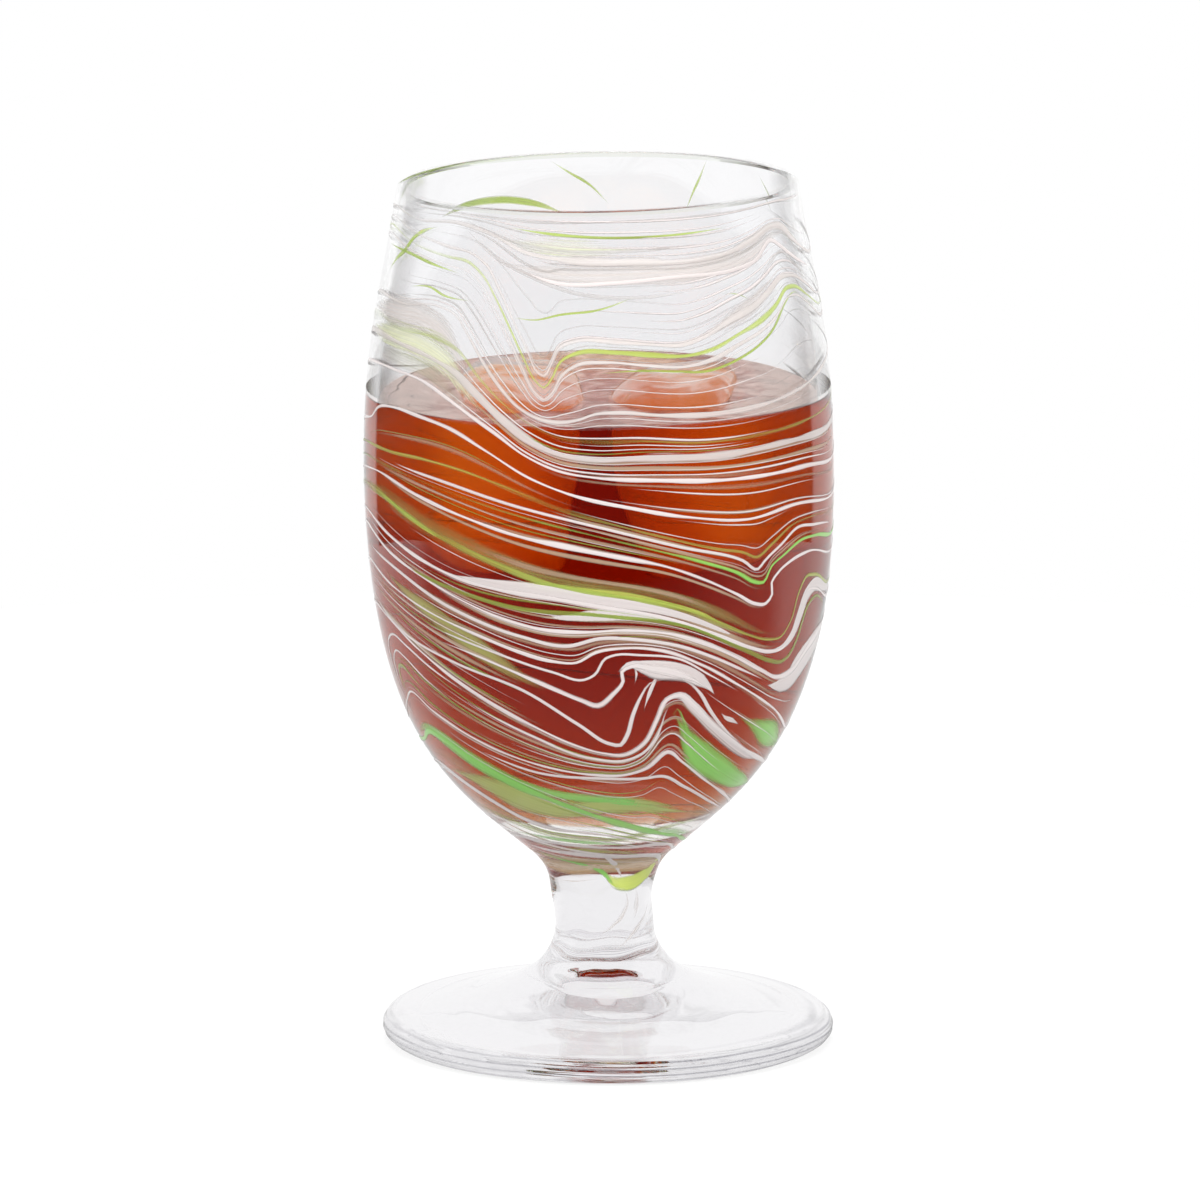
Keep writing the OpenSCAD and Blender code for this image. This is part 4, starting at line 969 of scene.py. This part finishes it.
# Melting ice: clear and a little amber, with painted reflection in pale patches on its dry top: a coat
# there and a painted metallic sheen at grazing angles
frozen_water, tree = new_material("melting_ice")
place = add_node(tree, "ShaderNodeNewGeometry")
height = add_node(tree, "ShaderNodeSeparateXYZ", {0: place.outputs["Position"]})
dry = ramp(tree, height.outputs[2], (DRINK_Z - 0.2) * MM, (DRINK_Z + 0.3) * MM)
clear = calc(tree, "MULTIPLY_ADD", dry, -0.4, 1.0)
painted_reflection_noise = add_node(tree, "ShaderNodeTexNoise", {
    "Vector": place.outputs["Position"], "Scale": 1 / (ICE_REFLECTION_MM * MM), "Detail": 3.0,
    "Distortion": 1.0})
# Painted reflection: pale patches on the dry top, given a coat and a painted metallic sheen at grazing
# angles
painted_reflection_patch = calc(tree, "MULTIPLY", ramp(tree, painted_reflection_noise.outputs[0], 0.37, 0.57, most=0.9), dry)
graze = add_node(tree, "ShaderNodeLayerWeight", {"Blend": 0.5})
painted_sheen = calc(tree, "MULTIPLY", ramp(tree, graze.outputs["Facing"], 0.5, 0.75, most=0.6), painted_reflection_patch)
depth = add_node(tree, "ShaderNodeVolumeAbsorption", {"Color": (0.96, 0.66, 0.1, 1), "Density": 60.0})
clear_finish(tree, ICE_IOR, {
    "Base Color": colour("#ffffff"), "Roughness": 0.02, "Metallic": painted_sheen, "Coat Weight": painted_reflection_patch,
    "Coat Roughness": 0.05, "Alpha": clear}, depth)


def ice_block(name, centre, half, tilt, taper, shrink):
    """A rounded block of ice, wider at its top, with its faces dished and rippled by melting."""
    work = bmesh.new()
    bmesh.ops.create_cube(work, size=2)
    bmesh.ops.subdivide_edges(work, edges=work.edges[:], cuts=ICE_CUTS, use_grid_fill=True)
    p = np.array([v.co for v in work.verts])
    faces = [[v.index for v in f.verts] for f in work.faces]
    work.free()
    x, y, z = np.abs(p).T
    reach = (x**ICE_ROUND + y**ICE_ROUND) ** (ICE_FLAT / ICE_ROUND) + z**ICE_FLAT
    p = p / reach[:, None] ** (1 / ICE_FLAT)
    x, y, z = p.T
    melt = MELT * (np.sin(5 * x + 3 * z) + np.sin(4 * y - 3 * x + 1) + np.sin(6 * z + 2 * y + 2))
    p = p * (np.array(half) - shrink) * (1 + melt[:, None])
    p[:, 0] *= 1 + taper * z
    for axis, angle in enumerate(np.radians(tilt)):
        a, b = [i for i in range(3) if i != axis]
        turned = [[math.cos(angle), math.sin(angle)], [-math.sin(angle), math.cos(angle)]]
        p[:, [a, b]] = p[:, [a, b]] @ turned
    return make_piece(name, p + centre, faces, [frozen_water])


for i, block in enumerate(ice_blocks, 1):
    hollow = ice_block(f"hollow_{i}", *block, WETTING)
    cut = drink.modifiers.new("hollow", "BOOLEAN")
    cut.operation = "DIFFERENCE"
    cut.solver = "EXACT"
    cut.object = hollow
    carved = drink.evaluated_get(bpy.context.evaluated_depsgraph_get())
    carved = bpy.data.meshes.new_from_object(carved)
    drink.modifiers.clear()
    drink.data = carved
    bpy.data.objects.remove(hollow)
    ice_block(f"ice_{i}", *block, 0)
drink.data.materials.clear()
drink.data.materials.append(drink_liquid)
drink.data.set_sharp_from_angle(angle=math.radians(35))


# Studio
# A white table and a white panel behind, with soft lamps at both sides of the camera.
# Glass is drawn by the panel's edges, so the room beside it is darker. Sizes here are in metres.
FLOOR_R = 0.45
FLOOR_DROP = 0.0002
FLOOR_SHADE = 0.2
FLOOR_BOUNCE = 0.6
BEHIND_Y = -0.04, 0.06
BEFORE_Y, BEFORE_MOST = (-0.34, -0.1), 0.36
PANEL_LEFT, PANEL_RIGHT = math.radians(-38), math.radians(50)
PANEL_SOFT = 0.03
REAR = 2.0, 1.65
ROOM_MIRRORED, ROOM_THROUGH, ROOM_LIGHT = 0.05, 0.85, 0.6
LAMP_AIM = (0, 0, 0.1)
work = bmesh.new()
bmesh.ops.create_circle(work, cap_ends=True, segments=96, radius=FLOOR_R)
floor_mesh = bpy.data.meshes.new("floor")
work.to_mesh(floor_mesh)
work.free()
floor = bpy.data.objects.new("floor", floor_mesh)
bpy.context.collection.objects.link(floor)

# White laminate: seen as plain white, it takes only the faint shade of the goblet
# The glass mirrors it behind the goblet and, fainter, close in front, where it hazes the bowl's underside
laminate, tree = new_material("white_table_laminate")
path = add_node(tree, "ShaderNodeLightPath")
place = add_node(tree, "ShaderNodeTexCoord")
apart = add_node(tree, "ShaderNodeSeparateXYZ", {0: place.outputs["Object"]})
behind = ramp(tree, apart.outputs[1], *BEHIND_Y)
before = ramp(tree, apart.outputs[1], *BEFORE_Y, most=BEFORE_MOST)
seen = calc(tree, "MULTIPLY", path.outputs["Is Glossy Ray"], calc(tree, "MAXIMUM", behind, before))
seen = calc(tree, "MAXIMUM", seen, path.outputs["Is Camera Ray"])
seen = calc(tree, "MAXIMUM", seen, path.outputs["Is Transmission Ray"])
bounce = calc(tree, "MULTIPLY", path.outputs["Is Diffuse Ray"], FLOOR_BOUNCE)
seen = calc(tree, "MAXIMUM", seen, bounce)
glow = add_node(tree, "ShaderNodeEmission", {"Color": colour("#ffffff"), "Strength": seen})
paint = add_node(tree, "ShaderNodeBsdfDiffuse", {"Color": colour("#f4f4f4")})
shaded = calc(tree, "MULTIPLY_ADD", path.outputs["Is Glossy Ray"], -FLOOR_SHADE, FLOOR_SHADE)
both = add_node(tree, "ShaderNodeMixShader", {0: shaded, 1: glow.outputs[0], 2: paint.outputs[0]})
add_node(tree, "ShaderNodeOutputMaterial", {"Surface": both.outputs[0]})
floor_mesh.materials.append(laminate)
floor.location.z = -FLOOR_DROP

world = bpy.data.worlds.new("studio")
bpy.context.scene.world = world
world.use_nodes = True
tree = world.node_tree
tree.nodes.clear()
path = add_node(tree, "ShaderNodeLightPath")
way = add_node(tree, "ShaderNodeTexCoord")
apart = add_node(tree, "ShaderNodeSeparateXYZ", {0: way.outputs["Generated"]})
bearing = calc(tree, "ARCTAN2", apart.outputs[0], apart.outputs[1])
left = ramp(tree, bearing, PANEL_LEFT - PANEL_SOFT, PANEL_LEFT + PANEL_SOFT)
right = ramp(tree, bearing, PANEL_RIGHT + PANEL_SOFT, PANEL_RIGHT - PANEL_SOFT)
panel = calc(tree, "MULTIPLY", left, right)
rear = ramp(tree, calc(tree, "ABSOLUTE", bearing), *REAR)
upper = calc(tree, "MULTIPLY", ramp(tree, apart.outputs[2], -0.05, 0.05), rear)
mirrored = ramp(tree, calc(tree, "MAXIMUM", upper, panel), 0.0, 1.0, ROOM_MIRRORED)
through = ramp(tree, panel, 0.0, 1.0, ROOM_THROUGH)
strength = ROOM_LIGHT
for ray, shown in (("Glossy", mirrored), ("Transmission", through), ("Camera", 1.0)):
    lit = add_node(tree, "ShaderNodeMix", {0: path.outputs[f"Is {ray} Ray"], 2: strength, 3: shown})
    strength = lit.outputs[0]
sky = add_node(tree, "ShaderNodeBackground", {"Color": colour("#ffffff"), "Strength": strength})
add_node(tree, "ShaderNodeOutputWorld", {"Surface": sky.outputs[0]})


def soft_lamp(name, place, size, power):
    """A soft square lamp that lights the glass without being mirrored in it."""
    lamp = bpy.data.objects.new(name, bpy.data.lights.new(name, "AREA"))
    lamp.data.size = size
    lamp.data.energy = power
    lamp.location = place
    lamp.rotation_euler = (Vector(LAMP_AIM) - Vector(place)).to_track_quat("-Z", "Y").to_euler()
    lamp.visible_glossy = False
    lamp.visible_transmission = False
    bpy.context.collection.objects.link(lamp)


soft_lamp("lamp_left", (-0.9, -1.0, 0.8), 0.7, 18)
soft_lamp("lamp_right", (0.95, -0.9, 0.7), 0.7, 18)
soft_lamp("lamp_top", (0, 0.1, 1.3), 0.8, 12)

# Long lens, two metres away and a little above the rim
CAMERA_AT = (0, -2.0, 0.47)
CAMERA_DOWN = 10.911
SENSOR_MM = 36
LENS_PX, PICTURE_PX = 10736, 1200
GLASS_BOUNCES, CLEAR_BOUNCES = 96, 48
camera = bpy.data.objects.new("camera", bpy.data.cameras.new("camera"))
camera.data.sensor_width = SENSOR_MM
camera.data.lens = SENSOR_MM * LENS_PX / PICTURE_PX
camera.location = CAMERA_AT
camera.rotation_euler = (math.radians(90 - CAMERA_DOWN), 0, 0)
bpy.context.collection.objects.link(camera)
scene = bpy.context.scene
scene.camera = camera
scene.view_settings.view_transform = "Standard"
scene.cycles.max_bounces = GLASS_BOUNCES
scene.cycles.transmission_bounces = GLASS_BOUNCES
scene.cycles.glossy_bounces = GLASS_BOUNCES
scene.cycles.transparent_max_bounces = CLEAR_BOUNCES
